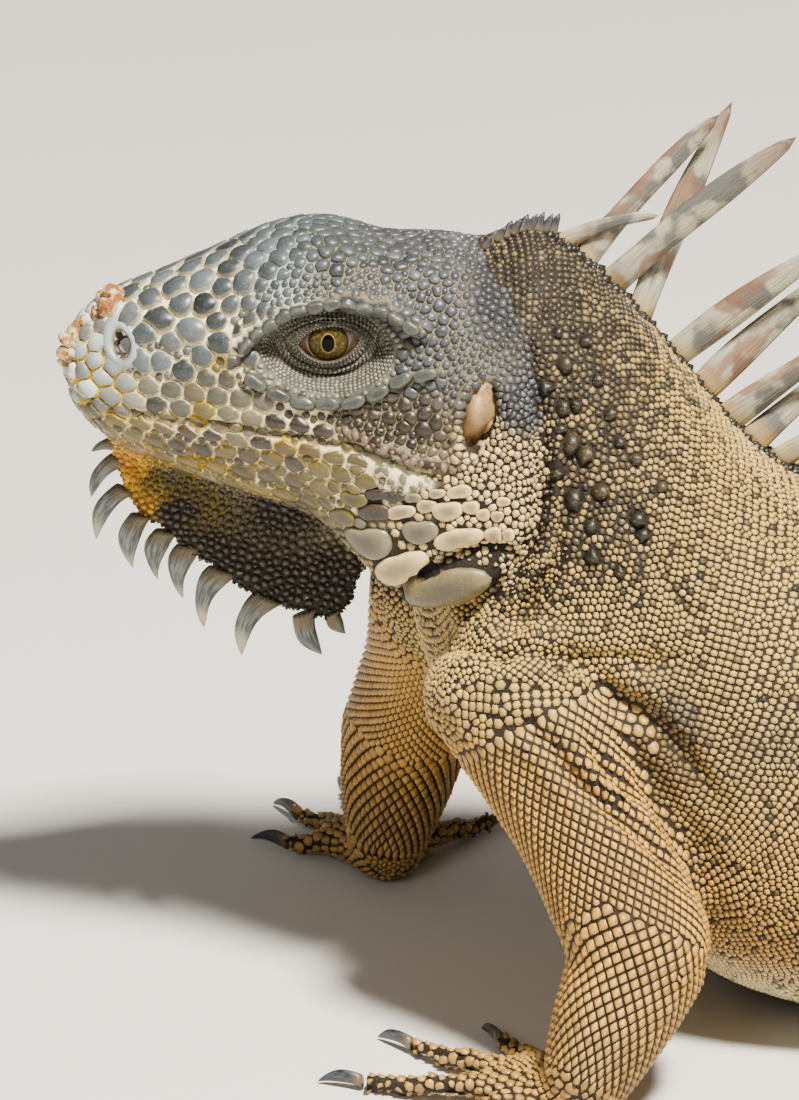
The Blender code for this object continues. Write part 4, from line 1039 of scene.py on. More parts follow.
def pinned_plates(seeds):
    """Rows of lip, chin and brow plates and the single plates of the jowl, on both sides."""
    for side in (1, -1):
        for line, count, long, wide, tall, form in HEAD_CHAINS:
            flat, way = chain_places(line, count)
            lie = np.column_stack([0 * way[:, 0], way]) @ HEAD_AXES.T
            seeds.add("head", form, from_side(flat, side), lie, long, wide, tall)
        along, up, long, wide, lean = np.array([row[:5] for row in JOWL_PLATES]).T
        lean = np.radians(lean)
        lie = np.column_stack([0 * lean, np.cos(lean), np.sin(lean)]) @ HEAD_AXES.T
        hits = from_side(np.column_stack([along, up]), side)
        seeds.add("head", "shield", hits, lie, long, wide, 0.5 + 0.16 * wide)


def scattered(mesh, wanted, count, chance):
    """Random places spread evenly over the wanted part of a mesh, with their normals."""
    mesh.calc_loop_triangles()
    corners = np.empty(len(mesh.loop_triangles) * 3, np.int32)
    mesh.loop_triangles.foreach_get("vertices", corners)
    places = places_of(mesh)[corners.reshape(-1, 3)]
    places = places[wanted(places.mean(axis=1))]
    cross = np.cross(places[:, 1] - places[:, 0], places[:, 2] - places[:, 0])
    area = np.linalg.norm(cross, axis=1)
    pick = chance.choice(len(area), size=count, p=area / area.sum())
    a, b = chance.random((2, count, 1))
    fold = (a + b) > 1
    a, b = np.where(fold, 1 - a, a), np.where(fold, 1 - b, b)
    chosen = places[pick]
    spot = chosen[:, 0] + a * (chosen[:, 1] - chosen[:, 0]) + b * (chosen[:, 2] - chosen[:, 0])
    return spot, unit(cross[pick])


HEAD_CELL = 4.0               # side of the cells in which neighbours on the head are looked for
LIFTED = 2.2                  # how far seeds are lifted, to keep the dewlap's two sides apart
HEAD_SPOTS = 60000            # how many random places the head's free plates are chosen from
SMALL_PLATE = 1.2             # half width under which a plate is a bead


def inside_scale(off, half, lie, side, out, long, wide):
    """Whether a plate of this half width would stand on a scale that is off by so much."""
    shares = (off @ lie / (long + 0.6 * half), off @ side / (wide + 0.6 * half), off @ out / (long + half))
    return sum(share ** 2 for share in shares) < 1.0


def fill_head(seeds, chance):
    """Fills what the rows leave of the head and dewlap with plates of the size that fits there."""
    def wanted(places):
        return on_head(to_head(places)) & free_ground(places)

    spot, normal = scattered(MADE["skin"].data, wanted, HEAD_SPOTS, chance)
    half = head_grain(to_head(spot))
    apart = spot + LIFTED * normal
    fixed = seeds.joined()
    fixed_apart = fixed["place"] + LIFTED * fixed["normal"]
    across = np.cross(fixed["normal"], fixed["lie"])
    taken, shelf, kept = {}, {}, []
    for k, place in enumerate(fixed_apart):
        entry = (place, fixed["lie"][k], across[k], fixed["normal"][k], fixed["long"][k], fixed["wide"][k])
        reach = int((max(entry[4:]) + 3.0) // HEAD_CELL) + 1
        for cell in cells_near(cell_of(place, HEAD_CELL), reach):
            taken.setdefault(cell, []).append(entry)
    for k, (place, here) in enumerate(zip(apart, half)):
        base = cell_of(place, HEAD_CELL)
        if any(inside_scale(place - entry[0], here, *entry[1:]) for entry in taken.get(base, ())):
            continue
        if any((place - other) @ (place - other) < (0.82 * (here + size_there)) ** 2
               for cell in cells_near(base) for other, size_there in shelf.get(cell, ())):
            continue
        shelf.setdefault(base, []).append((place, here))
        kept.append(k)
    place = spread_out(kept, spot, apart, fixed_apart)
    place, normal, _ = on_skin(place, 8.0)
    local = to_head(place)
    half = head_grain(local)
    back = np.broadcast_to(HEAD_AXES @ np.array((0.0, 1.0, 0.0)), place.shape)
    low = local[:, 2] < np.interp(local[:, 1], (-80.0, -60.0, -20.0, -8.0), (-22.0, -28.0, -38.0, -60.0))
    big = half >= SMALL_PLATE
    tall = np.where(big, 0.4 * half + 0.25, 0.62 * half)
    for name, mine in (("dewlap", low), ("head", ~low)):
        for form, fits in (("plate", big), ("bead", ~big)):
            seeds.add(name, form, (place, normal, mine & fits), back, half * 1.04, half, tall)


def spread_out(kept, spots, apart, fixed, times=3):
    """Moves the free seeds to the middles of the ground that is nearest to them."""
    places, lifted = spots[kept], apart[kept]
    for _ in range(times):
        tree = search_tree([*lifted, *fixed])
        owner = np.array([tree.find(spot)[1] for spot in apart])
        mine = owner < len(places)
        count = np.bincount(owner[mine], minlength=len(places))[:, None]
        for field, known in ((places, spots), (lifted, apart)):
            total = np.stack([np.bincount(owner[mine], known[mine, j], len(field)) for j in range(3)], axis=1)
            field[:] = np.where(count > 3, total / np.maximum(count, 1), field)
    return places


TUBERCLES = ((17.2, 4.7, 1.9), (13.4, 1, 1.6), (16.7, -3.2, 1.8), (19.4, -3, 1.5), (26.6, -5.5, 1.4),
             (18.6, -10.3, 2.4), (21.4, -12.6, 2.1), (15.8, -15.4, 1.7), (31.9, -14.4, 1.4),
             (19.3, -21.2, 2.2), (25, -20, 1.9), (32.6, -26.1, 1.8), (33.6, -29, 1.6),
             (23.3, -32.9, 1.9), (15.6, 10.5, 1.3), (21.5, 8, 1.4), (24, 1, 1.3), (28.5, -11, 1.3),
             (16.6, -7.2, 1.2), (22.8, -26.6, 1.5), (37.5, -20.5, 1.2), (29, -36, 1.3), (13.8, -20.5, 1.1))


def tubercle_scales(seeds, chance):
    """The large pointed scales strewn behind the ear."""
    rows = np.array(TUBERCLES)
    for side in (1, -1):
        flat = rows[:, :2] + (0.0 if side > 0 else chance.normal(scale=0.9, size=(len(rows), 2)))
        back = np.broadcast_to((0.0, 0.75, -0.65), (len(rows), 3))
        seeds.add("neck_left" if side > 0 else "neck_right", "cone", from_side(flat, side), back,
                  rows[:, 2] * 1.1, rows[:, 2] * 1.05, rows[:, 2] * 1.15)


# ---------------------------------------------------------------- eyelids
LID_SLIT = (6.4, 3.7, 4.4)            # half length of the opening, height above and below it
LID_TILT = math.radians(9.0)
LID_MIDDLE = (-31.5, 8.5)
LID_FRONT = 19.9                      # how far out the lids' edge stands at the middle
LID_FLAT = 24.0                       # how slowly they fall back from there


def lid_surface(turn, share, side):
    """Eyelids in the head's axes: 0 at the orbit's rim, 1 at the edge of the opening."""
    a = 2 * np.pi * turn
    rim_y = ORBIT_MIDDLE[0] + (ORBIT_SIZE[0] + 0.4) * np.cos(a)
    rim_z = ORBIT_MIDDLE[1] + (ORBIT_SIZE[1] + 0.4) * np.sin(a)
    along = LID_SLIT[0] * np.cos(a)
    up = np.where(np.sin(a) > 0, LID_SLIT[1], LID_SLIT[2]) * np.sin(a) * np.abs(np.sin(a)) ** 0.25
    slit_y = LID_MIDDLE[0] + along * math.cos(LID_TILT) - up * math.sin(LID_TILT)
    slit_z = LID_MIDDLE[1] + along * math.sin(LID_TILT) + up * math.cos(LID_TILT)
    rim = np.abs(to_head(from_side(np.column_stack([rim_y, rim_z]), side, "whole")[0])[:, 0]) - 0.35
    y = rim_y * (1 - share) + slit_y * share
    z = rim_z * (1 - share) + slit_z * share
    off = np.hypot(y - LID_MIDDLE[0], z - LID_MIDDLE[1])
    ball = LID_FRONT - off ** 2 / LID_FLAT
    blend = soft_step(0.0, 0.55, share)
    wander = 0.06 * np.sin(3 * a) + 0.04 * np.sin(7 * a + 1.0)
    fold = 0.2 * np.sin((share + wander) * 2 * np.pi * 5.2) * np.sin(np.pi * np.clip(share, 0, 1))
    groove = -0.7 * bump(share - 0.3, 0.16) - 0.95 * lid_crease(turn, share)
    x = rim * (1 - blend) + ball * blend + fold + groove
    return np.column_stack([side * x, y, z])


def lid_crease(turn, share):
    """1 in the long creases of the lids: over the upper lid, and two under the lower one."""
    upper = np.sin(2 * np.pi * turn) > 0
    wander = 0.03 * np.sin(6 * np.pi * turn + 1.0)
    first = bump(share - np.where(upper, 0.66, 0.74) - wander, 0.045)
    second = bump(share - np.where(upper, 0.1, 0.46) - wander, 0.05)
    return np.maximum(first, second) * np.abs(np.sin(2 * np.pi * turn)) ** 0.3


def lid_scales(seeds, side):
    """Rings of fine beads on the eyelids, darker towards the opening's edge, and darker in the creases as
    painted shade.
    """
    rows = 22
    turns = np.linspace(0.0, 1.0, 200)
    for k in range(rows):
        share = 0.03 + 0.96 * (k / (rows - 1)) ** 0.85
        ring = lid_surface(turns, np.full(200, share), side)
        inner = lid_surface(turns, np.full(200, share + 0.03), side)
        arc = run_along(ring)
        count = int(arc[-1] / (0.95 if share < 0.85 else 0.78))
        marks = (np.arange(count) + 0.5 * (k % 2)) / count * arc[-1]
        place = read_line(marks, arc, ring)
        inward = read_line(marks, arc, inner) - place
        ahead = read_line((marks + 0.2) % arc[-1], arc, ring) - place
        normal = unit(np.cross(ahead, inward)) * side
        normal = np.where((normal[:, :1] * side) < 0, -normal, normal)
        wide = np.clip(np.linalg.norm(inward, axis=1) / 0.03 * 0.5 / rows, 0.22, 0.55)
        turn = np.interp(marks, arc, turns)
        # Beads grow darker towards the opening's edge, and darker still in the creases as painted shade; the
        # first map number carries this.
        worn = 1.0 - 0.85 * float(soft_step(0.55, 0.82, share))
        chart = np.stack([worn * (1.0 - lid_crease(turn, share)), turn], axis=1)
        hits = (from_head(place), normal @ HEAD_AXES.T, np.ones(count, bool))
        seeds.add("lids", "bead", hits, ahead @ HEAD_AXES.T, arc[-1] / count / 2, wide,
                  0.26 if share > 0.88 else 0.16, chart)


def make_lids(side, name):
    """Both lids of one eye as a sleeve, whose inner rim is turned in."""
    turns = np.arange(72) / 72
    shares = np.concatenate([np.linspace(-0.06, 1.0, 26), [1.02]])
    grid = np.array([lid_surface(turns, np.full(72, share), side) for share in shares])
    grid[-1, :, 0] -= side * 1.2
    piece = new_piece(name, wrapped(grid_from_head(grid), closed=False, flip=side < 0))
    tinted(piece.data, np.tile(paints("lid") * 0.2, (len(piece.data.vertices), 1)))
    return piece


# ---------------------------------------------------------------- from seeds to scales
# For each form: corners round it, rings as (share of the outline, height), height of the top,
# how far the top is moved along the lie, how much the far end is raised.
SHAPES = {
    "bead": (6, ((1.0, -0.35), (0.92, 0.55)), 1.0, 0.05, 0.1),
    "keel": (8, ((1.0, -0.35), (0.93, 0.42)), 1.0, 0.3, 0.5),
    "plate": (12, ((1.0, -0.35), (0.95, 0.5), (0.84, 0.9)), 0.97, 0.0, 0.06),
    "cone": (10, ((1.0, -0.3), (0.9, 0.3), (0.58, 0.74)), 1.2, 0.3, 0.1),
    "shield": (28, ((1.0, -0.35), (0.97, 0.45), (0.9, 0.85), (0.66, 1.0), (0.34, 1.05)), 1.07, 0.0, 0.0),
}
RING_TONE = {"bead": (0.3, 0.95, 1.05), "keel": (0.25, 0.9, 1.05), "plate": (0.1, 0.72, 1.0, 1.0),
             "cone": (0.2, 0.85, 1.0, 1.4), "shield": (0.2, 1.1, 1.25, 0.95, 0.62, 0.52)}
GAPS = {"bead": 0.16, "keel": 0.42, "plate": 0.1, "cone": 0.12, "shield": 0.5}
CORNER = 11.0                 # how sharp the corners of the outlines are
REACH = (1.36, 1.8)           # how far a scale may spread where it has no neighbour: body, head


def thinned(seeds):
    """Leaves out a seed that stands too close to one that comes before it."""
    small = np.minimum(seeds["long"], seeds["wide"])
    head = np.isin(seeds["piece"], ("head", "dewlap", "lids"))
    tree = search_tree(seeds["place"])
    alive = np.ones(len(small), bool)
    # Scales in rings on the legs and tail may stand closer than the beads of neck and trunk.
    close = np.where(np.isin(seeds["form"], (FORMS.index("keel"), FORMS.index("plate"))), 0.6, 0.78)
    for k in np.flatnonzero(~head):
        alive[k] = not any(
            other < k and alive[other] and off < close[k] * (small[k] + small[other])
            for _, other, off in tree.find_range(seeds["place"][k], close[k] * (small[k] + 2.4)))
    return {key: value[alive] for key, value in seeds.items()}


def cleared(seeds):
    """Leaves out the scales that a jowl plate covers."""
    across = np.cross(seeds["normal"], seeds["lie"])
    small = np.minimum(seeds["long"], seeds["wide"])
    plates = seeds["form"] == FORMS.index("shield")
    alive = np.ones(len(small), bool)
    for k in np.flatnonzero(plates):
        off = seeds["place"] - seeds["place"][k]
        along = np.abs(off @ seeds["lie"][k]) / (seeds["long"][k] + 0.4 * small)
        aside = np.abs(off @ across[k]) / (seeds["wide"][k] + 0.4 * small)
        level = np.abs(off @ seeds["normal"][k]) / (1.5 + 0.45 * seeds["long"][k])
        covered = along ** 2.5 + aside ** 2.5 + level ** 4 < 1.0
        alive &= plates | ~covered
    return {key: value[alive] for key, value in seeds.items()}


def free_ground(places):
    """Where scales may be sown: not in the eye's hollow, the ear or the nostril."""
    local = to_head(places)
    orbit = ellipse_share(local, ORBIT_MIDDLE, ORBIT_SIZE) < 1.05
    ear = ellipse_share(local, EAR_PLACE[1:], EAR_SIZE, EAR_LEAN) < 1.12
    nostril = off_nostril(local, up=1.3) < 3.7
    band = side_line(local, JOWL_BAND)[0] < 0.7
    return ~((orbit | ear | nostril | band) & (np.abs(local[:, 0]) > 7.0) & on_head(local))


def patched(seeds, chance):
    """Adds beads wherever the rows have left the skin bare."""
    mesh = MADE["skin"].data
    middles = np.zeros(3 * len(mesh.polygons), np.float32)
    mesh.polygons.foreach_get("center", middles)
    spots = np.concatenate([places_of(mesh), middles.reshape(-1, 3) / MM])
    spots = spots[(spots[:, 2] > 0.9) & free_ground(spots)]
    spots = spots[chance.permutation(len(spots))]
    tree = search_tree(seeds["place"])
    near = np.array([[found[1] for found in tree.find_n(spot, 10)] for spot in spots])
    across = np.cross(seeds["normal"], seeds["lie"])
    off = spots[:, None] - seeds["place"][near]
    along = np.sum(off * seeds["lie"][near], axis=2) / seeds["long"][near]
    aside = np.sum(off * across[near], axis=2) / seeds["wide"][near]
    over = np.sum(off * seeds["normal"][near], axis=2) / (seeds["long"][near] + 1.0)
    bare = np.flatnonzero(np.sqrt(along**2 + aside**2 + over**2).min(axis=1) > 1.24)
    halves = np.clip(0.72 * np.minimum(seeds["long"], seeds["wide"]), 0.62, 0.95)
    added, shelf = [], {}
    for k in bare:
        spot, half = spots[k], halves[near[k, 0]]
        cell = cell_of(spot, 3.0)
        if not any(np.linalg.norm(spot - other) < 1.6 * half
                   for there in cells_near(cell) for other in shelf.get(there, ())):
            shelf.setdefault(cell, []).append(spot)
            added.append(k)
    place, normal, _ = on_skin(spots[added], 3.0)
    owners = near[added, 0]
    half = halves[owners]
    extra = {key: value[owners].copy() for key, value in seeds.items()}
    extra.update({"place": place, "normal": normal, "lie": laid(extra["lie"], normal), "long": 1.12 * half,
                  "wide": 1.12 * half, "tall": 0.6 * half, "form": np.zeros(len(half), int)})
    extra["map"] = extra["map"] + chance.normal(scale=0.003, size=extra["map"].shape)
    keep = normal[:, 2] > -0.9
    return {key: np.concatenate([seeds[key], extra[key][keep]]) for key in seeds}


def neighbours(seeds, near=15, near_big=56):
    """For each seed, the seeds around it that may bound its outline."""
    count = len(seeds["place"])
    across = np.cross(seeds["normal"], seeds["lie"])
    big = np.flatnonzero(np.maximum(seeds["long"], seeds["wide"]) > 1.9)
    points, owner = [seeds["place"]], [np.arange(count)]
    for a in np.arange(8) * math.pi / 4:
        points.append(seeds["place"][big] + 0.7 * math.cos(a) * seeds["lie"][big] * seeds["long"][big, None]
                      + 0.7 * math.sin(a) * across[big] * seeds["wide"][big, None])
        owner.append(big)
    points, owner = np.concatenate(points), np.concatenate(owner)
    points = points + 1.5 * seeds["normal"][owner]
    tree = search_tree(points)
    table = np.full((count, near_big), -1)
    wide = set(big.tolist())
    for k, place in enumerate(points[:count]):
        found = {int(owner[j]) for _, j, _ in tree.find_n(place, near_big if k in wide else near)}
        found.discard(k)
        table[k, :len(found)] = list(found)
    return table[:, :int((table >= 0).sum(axis=1).max())]


def outlines(seeds, table, mine, sides, gap):
    """How far each of the chosen scales reaches, in ways evenly round it."""
    across = np.cross(seeds["normal"], seeds["lie"])
    turn = 2 * np.pi * np.arange(sides) / sides
    ways = (seeds["lie"][mine, None] * np.cos(turn)[:, None] + across[mine, None] * np.sin(turn)[:, None])
    own = np.hypot(np.cos(turn) / seeds["long"][mine, None], np.sin(turn) / seeds["wide"][mine, None])
    room = np.where(np.isin(seeds["piece"][mine], ("head", "dewlap")), *REACH[::-1])
    total = (room[:, None] / own) ** -CORNER
    for column in table[mine].T:
        there = column >= 0
        if not there.any():
            continue
        j = np.where(there, column, 0)
        off = seeds["place"][j] - seeds["place"][mine]
        scale = np.stack([1 / seeds["long"][j], 1 / seeds["wide"][j]], axis=1)
        frame_there = np.stack([seeds["lie"][j], across[j]], axis=1)
        way = np.einsum("nmk,nak->nma", ways, frame_there) * scale[:, None]
        to = np.einsum("nk,nak->na", off, frame_there) * scale
        a = own**2 - np.sum(way**2, axis=2)
        g = np.einsum("nma,na->nm", way, to)
        d = np.sum(to**2, axis=1)[:, None]
        root = g + np.sqrt(np.maximum(g**2 + a * d, 0.0))
        valid = there[:, None] & (g**2 + a * d >= 0) & (root > 1e-6)
        reach = np.where(valid, d / np.maximum(root, 1e-6), 1e3)
        total += np.maximum(reach, 0.05) ** -CORNER
    reach = total ** (-1 / CORNER)
    return np.maximum(reach - gap / 2, 0.35 * reach)


def scale_parts(seeds, table, mine, form):
    """Corners, faces, colours and map places of all the chosen scales of one form."""
    sides, rings, top, shift, lift = SHAPES[form]
    across = np.cross(seeds["normal"], seeds["lie"])[mine]
    place, normal, lie = (seeds[key][mine] for key in ("place", "normal", "lie"))
    tall = seeds["tall"][mine]
    turn = 2 * np.pi * np.arange(sides) / sides
    if form == "shield":
        oval = (np.abs(np.cos(turn) / seeds["long"][mine, None]) ** 2.5
                + np.abs(np.sin(turn) / seeds["wide"][mine, None]) ** 2.5) ** -0.4
        reach = oval * (1 + 0.07 * np.cos(3 * turn + mine[:, None]))
    else:
        reach = outlines(seeds, table, mine, sides, GAPS[form])
    flat = (lie[:, None] * np.cos(turn)[:, None] + across[:, None] * np.sin(turn)[:, None]) * reach[..., None]
    layers, tones, patch = [], [], []
    for (share, height), tone in zip(rings, RING_TONE[form]):
        up = height + (lift * np.cos(turn) * (height > 0) + 0.3 * lift * np.cos(2 * turn) * (height > 0))
        layers.append(place[:, None] + flat * share + normal[:, None] * (tall[:, None] * up)[..., None])
        tones.append(np.broadcast_to(tone, reach.shape))
        patch.append(np.stack([np.cos(turn), np.sin(turn)], axis=1) * 0.0015 * share)
    ahead = lie * (shift * reach[:, :1])
    peak = place + ahead + normal * (tall * top)[:, None]
    corners = np.concatenate([*layers, peak[:, None]], axis=1)
    tone = np.concatenate([*tones, np.full((len(place), 1), RING_TONE[form][-1])], axis=1)
    broad = seeds["wide"][mine] > 1.4
    if form in ("plate", "shield") and broad.any():
        corners[broad] = hugging(corners[broad], place[broad], normal[broad])
    count, each = len(place), corners.shape[1]
    k = np.arange(sides)
    quads = [np.stack([r * sides + k, r * sides + (k + 1) % sides,
                       (r + 1) * sides + (k + 1) % sides, (r + 1) * sides + k], axis=1)
             for r in range(len(rings) - 1)]
    last = (len(rings) - 1) * sides
    fan = np.stack([last + k, last + (k + 1) % sides, np.full(sides, each - 1)], axis=1)
    base = np.arange(count)[:, None, None] * each
    quads = (np.concatenate(quads)[None] + base).reshape(-1, 4)
    fan = (fan[None] + base).reshape(-1, 3)
    spot = np.concatenate([*patch, [[0.0, 0.0]]])[None] + seeds["map"][mine, None]
    return {"corners": corners.reshape(-1, 3), "quads": quads, "fan": fan, "map": spot.reshape(-1, 2),
            "level": tone.reshape(-1), "which": np.repeat(mine, each)}


def hugging(corners, place, normal):
    """Bends wide plates to the skin under them, keeping each corner's height over it."""
    flat = corners.reshape(-1, 3)
    height = np.einsum("nck,nk->nc", corners - place[:, None], normal).ravel()
    under, way, found = on_skin(flat, 3.5)
    facing = np.sum(way * np.repeat(normal, corners.shape[1], axis=0), axis=1) > 0.4
    bent = under + way * height[:, None]
    return np.where((found & facing)[:, None], bent, flat).reshape(corners.shape)


def scale_piece(name, seeds, table, mine):
    """One mesh of many scales, with its colours and its map."""
    parts = []
    for number, form in enumerate(FORMS):
        chosen = mine[seeds["form"][mine] == number]
        if len(chosen):
            parts.append(scale_parts(seeds, table, chosen, form))
    start = np.cumsum([0] + [len(p["corners"]) for p in parts])

    def joined(key, offsets=np.zeros(len(parts), int)):
        return np.concatenate([part[key] + offset for part, offset in zip(parts, offsets)])

    corners = joined("corners")
    corners[:, 2] = np.maximum(corners[:, 2], 0.05)
    quads, fans = joined("quads", start), joined("fan", start)
    loops = np.concatenate([quads.ravel(), fans.ravel()])
    sizes = np.concatenate([np.full(len(quads), 4), np.full(len(fans), 3)])
    mesh = bpy.data.meshes.new(name)
    mesh.vertices.add(len(corners))
    mesh.vertices.foreach_set("co", (corners * MM).astype(np.float32).ravel())
    mesh.loops.add(len(loops))
    mesh.loops.foreach_set("vertex_index", loops.astype(np.int32))
    mesh.polygons.add(len(sizes))
    mesh.polygons.foreach_set("loop_start", np.concatenate([[0], np.cumsum(sizes)[:-1]]).astype(np.int32))
    mesh.polygons.foreach_set("use_smooth", np.ones(len(sizes), bool))
    mesh.update(calc_edges=True)
    which = joined("which")
    # The head's plates are rubbed: their rims are darker and their tops paler than the others'.
    level = joined("level")[:, None] ** np.where(seeds["piece"][which] == "head", 1.3, 1.0)[:, None]
    colour = seeds["gap"][which] * (1 - np.minimum(level, 1)) + seeds["tone"][which] * level
    colour = colour * (1 + 0.2 * cloud(corners, 2.2, 17.0) + 0.12 * cloud(corners, 0.9, 5.0))[:, None]
    tinted(mesh, np.clip(colour, 0, 1))
    chart = mesh.uv_layers.new(name="OFBake")
    chart.data.foreach_set("uv", joined("map")[loops].astype(np.float32).ravel())
    mesh.validate()
    return new_piece(name, mesh)


# ---------------------------------------------------------------- markings
# Stains on shoulder and flank: a point on the left, how wide, the colour, how strong.
STAINS = (((50, -157, 76), 16, "brown", 0.9), ((47, -150, 85), 5, "slate", 0.55),
          ((52, -129, 78), 7, "slate", 0.5), ((44, -140, 60), 12, "brown", 0.3))


def mixed(a, b, share):
    """One colour at a share of 0, the other at 1."""
    share = np.clip(share, 0.0, 1.0)[:, None]
    return a * (1 - share) + b * share


def trunk_tones(place, normal, chance):
    """Colours of the beads on neck, chest, flank and rump."""
    local = to_head(place)
    count = len(place)
    tone = mixed(np.broadcast_to(paints("bead"), (count, 3)), paints("bead_warm"),
                 soft_step(85.0, 25.0, place[:, 2]) * soft_step(-215, -150, place[:, 1]))
    tone = mixed(tone, paints("leg"), 0.6 * soft_step(10.0, 110.0, place[:, 1]))
    bars = 0.5 + 0.5 * np.sin(place[:, 1] / 6.2 + 1.2 * cloud(place, 40.0))
    tone = mixed(tone, paints("dark"), 0.45 * soft_step(0.55, 0.95, bars) * soft_step(-70, -10, place[:, 1]))
    under = soft_step(-0.35, -0.8, normal[:, 2]) * soft_step(40.0, 15.0, place[:, 2])
    tone = mixed(tone, paints("belly"), under)
    flank = on_left(place)
    for spot, wide, name, strength in STAINS:
        off = np.linalg.norm(flank - spot, axis=1) * (1 + 0.35 * cloud(place, 8.0, 2.0))
        tone = mixed(tone, paints(name), strength * np.exp(-(off / wide) ** 2))
    # Dark scales are thickest behind the ear and along the nape, and thin out down the flank.
    near = soft_step(58.0, 22.0, local[:, 1]) * soft_step(-55.0, -22.0, local[:, 2])
    nape = soft_step(-10.0, 12.0, local[:, 2]) * soft_step(60.0, 10.0, local[:, 1])
    share = 0.05 + 0.62 * near * (1 + 0.8 * cloud(place, 9.0, 4.0)) + 0.25 * nape
    dark = chance.random(count) < share
    tone = mixed(tone, paints("nape"), 0.5 * near + 0.3 * nape)
    tone = np.where(dark[:, None], mixed(tone, paints("dark"), 0.6 + 0.4 * chance.random(count)), tone)
    shade = 1 + 0.11 * chance.normal(size=count) + 0.16 * cloud(place, 22.0, 11.0) + 0.1 * cloud(place, 5.0)
    return tone * np.clip(shade, 0.5, 1.4)[:, None]


def dressed(seeds, chance):
    """Gives every scale its colour, and the colour of the skin beside it."""
    place, normal, piece = seeds["place"], seeds["normal"], seeds["piece"]
    count = len(place)
    tone = np.zeros((count, 3))
    gap = np.tile(paints("crease"), (count, 1))
    head = np.isin(piece, ("head", "dewlap"))
    tone[head], gap[head] = head_tones(to_head(place[head]), chance)
    plates = np.flatnonzero(head & (seeds["form"] == FORMS.index("shield")))
    for k in plates:
        spot = to_head(place[k:k + 1])[0, 1:]
        row = min(JOWL_PLATES, key=lambda known: math.hypot(known[0] - spot[0], known[1] - spot[1]))
        low = spot[1] < -15.0
        tone[k] = (paints(row[5]) if low else BROW_DARK) * (1 + 0.12 * chance.normal())
        gap[k] = paints("crease") * 0.5 if low else paints("slate_dark") * 0.6
    fold = head & (way_off(to_head(place)[:, 1:], CORNER_FOLD)[0] < 0.9) & (seeds["form"] == 0)
    tone[fold], gap[fold] = FOLD_TONE, FOLD_GAP
    # Skin between the dewlap's scales is a darker share of its colour, which also holds painted shade.
    under = (piece == "dewlap") & (np.linalg.norm(gap - paints("crease"), axis=1) < 0.02)
    gap[under] = paints("dewlap") * 0.45
    lids = piece == "lids"
    # The lids' beads take the darkening in their first map number: painted shade in the creases, darker
    # towards the opening.
    shade = (1 + 0.24 * chance.normal(size=lids.sum()))[:, None] * (0.3 + 0.7 * seeds["map"][lids, :1])
    tone[lids], gap[lids] = paints("lid") * shade, paints("lid") * 0.4 * shade
    trunk = np.array([str(p).split("_")[0] in ("neck", "chest", "flank", "rump") for p in piece])
    tone[trunk] = trunk_tones(place[trunk], normal[trunk], chance)
    cone = seeds["form"] == FORMS.index("cone")
    tone[cone] = mixed(tone[cone], paints("dark") * 0.5, np.full(cone.sum(), 0.92))
    for name, part, spread in (("arm", "arms", 0.1), ("leg", "legs", 0.14), ("paw", "paws", 0.14)):
        mine = np.array([str(p).startswith(part) for p in piece])
        total = mine.sum()
        shade = 1 + spread * chance.normal(size=total) + 0.2 * cloud(place[mine], 16.0, 6.0)
        base = np.tile(paints(name), (total, 1))
        if name == "arm":
            base = mixed(base, paints("bead"), soft_step(70.0, 95.0, place[mine, 2]))
            base = mixed(base, paints("leg"), 0.7 * soft_step(36.0, 16.0, place[mine, 2]))
        tone[mine] = base * np.clip(shade, 0.45, 1.4)[:, None]
        gap[mine] = paints("web")
    tail = piece == "tail"
    share = seeds["map"][tail, 0]
    band = np.sin(2 * np.pi * (share * 11.0 + 0.12 * cloud(place[tail], 30.0)))
    base = mixed(np.tile(paints("tail"), (tail.sum(), 1)), paints("leg"), soft_step(0.12, 0.0, share))
    base = mixed(base, paints("band"), soft_step(0.0, 0.5, band) * soft_step(0.02, 0.1, share))
    tone[tail] = base * np.clip(1 + 0.14 * chance.normal(size=tail.sum()), 0.5, 1.4)[:, None]
    seeds["tone"], seeds["gap"] = np.clip(tone, 0.004, 0.9), gap
    return seeds


def charted(seeds):
    """The head's scales get their places on an unwrap round the head's own length."""
    local = to_head(seeds["place"])
    for name in ("head", "dewlap", "lids"):
        mine = seeds["piece"] == name
        if not mine.any():
            continue
        turn = np.arctan2(local[mine, 2] + 8.0, local[mine, 0]) / (2 * np.pi) + 0.5
        run = (local[mine, 1] + 95.0) / 115.0
        if name == "lids":
            turn = 0.25 + 0.5 * (local[mine, 2] - ORBIT_MIDDLE[1]) / 20.0 + 0.25 * np.sign(local[mine, 0])
            run = (local[mine, 1] - ORBIT_MIDDLE[0]) / 32.0 + 0.5
        seeds["map"][mine] = np.stack([run, turn], axis=1)
    seeds["map"] = np.clip(seeds["map"], 0.003, 0.997)
    return seeds


def tint_skin(seeds):
    """The skin takes the colour that its nearest scale asks for between the scales."""
    mesh = MADE["skin"].data
    tree = search_tree(seeds["place"])
    owner = np.array([tree.find(place)[1] for place in places_of(mesh)])
    colours = seeds["gap"][owner].copy()
    local = to_head(places_of(mesh))
    mouth = (np.abs(local[:, 2] - mouth_height(local[:, 1])) < 0.5) & (local[:, 1] < -10.0)
    colours[mouth] = paints("crease") * 1.6
    band = (side_line(local, JOWL_BAND)[0] < 1.2) & on_head(local)
    # Skin deep in the nostril's hollow is painted dark, as the shade in the hole.
    inside = off_nostril(local, 2.0, 2.9) < 1.0
    colours[inside & (np.abs(local[:, 0]) > 4.0)] = NOSTRIL_PAINTED_SHADE
    # The groove between chin and jowl is painted nearly black: painted shade in the groove.
    colours[band] = paints("crease") * 0.35
    tinted(mesh, colours)


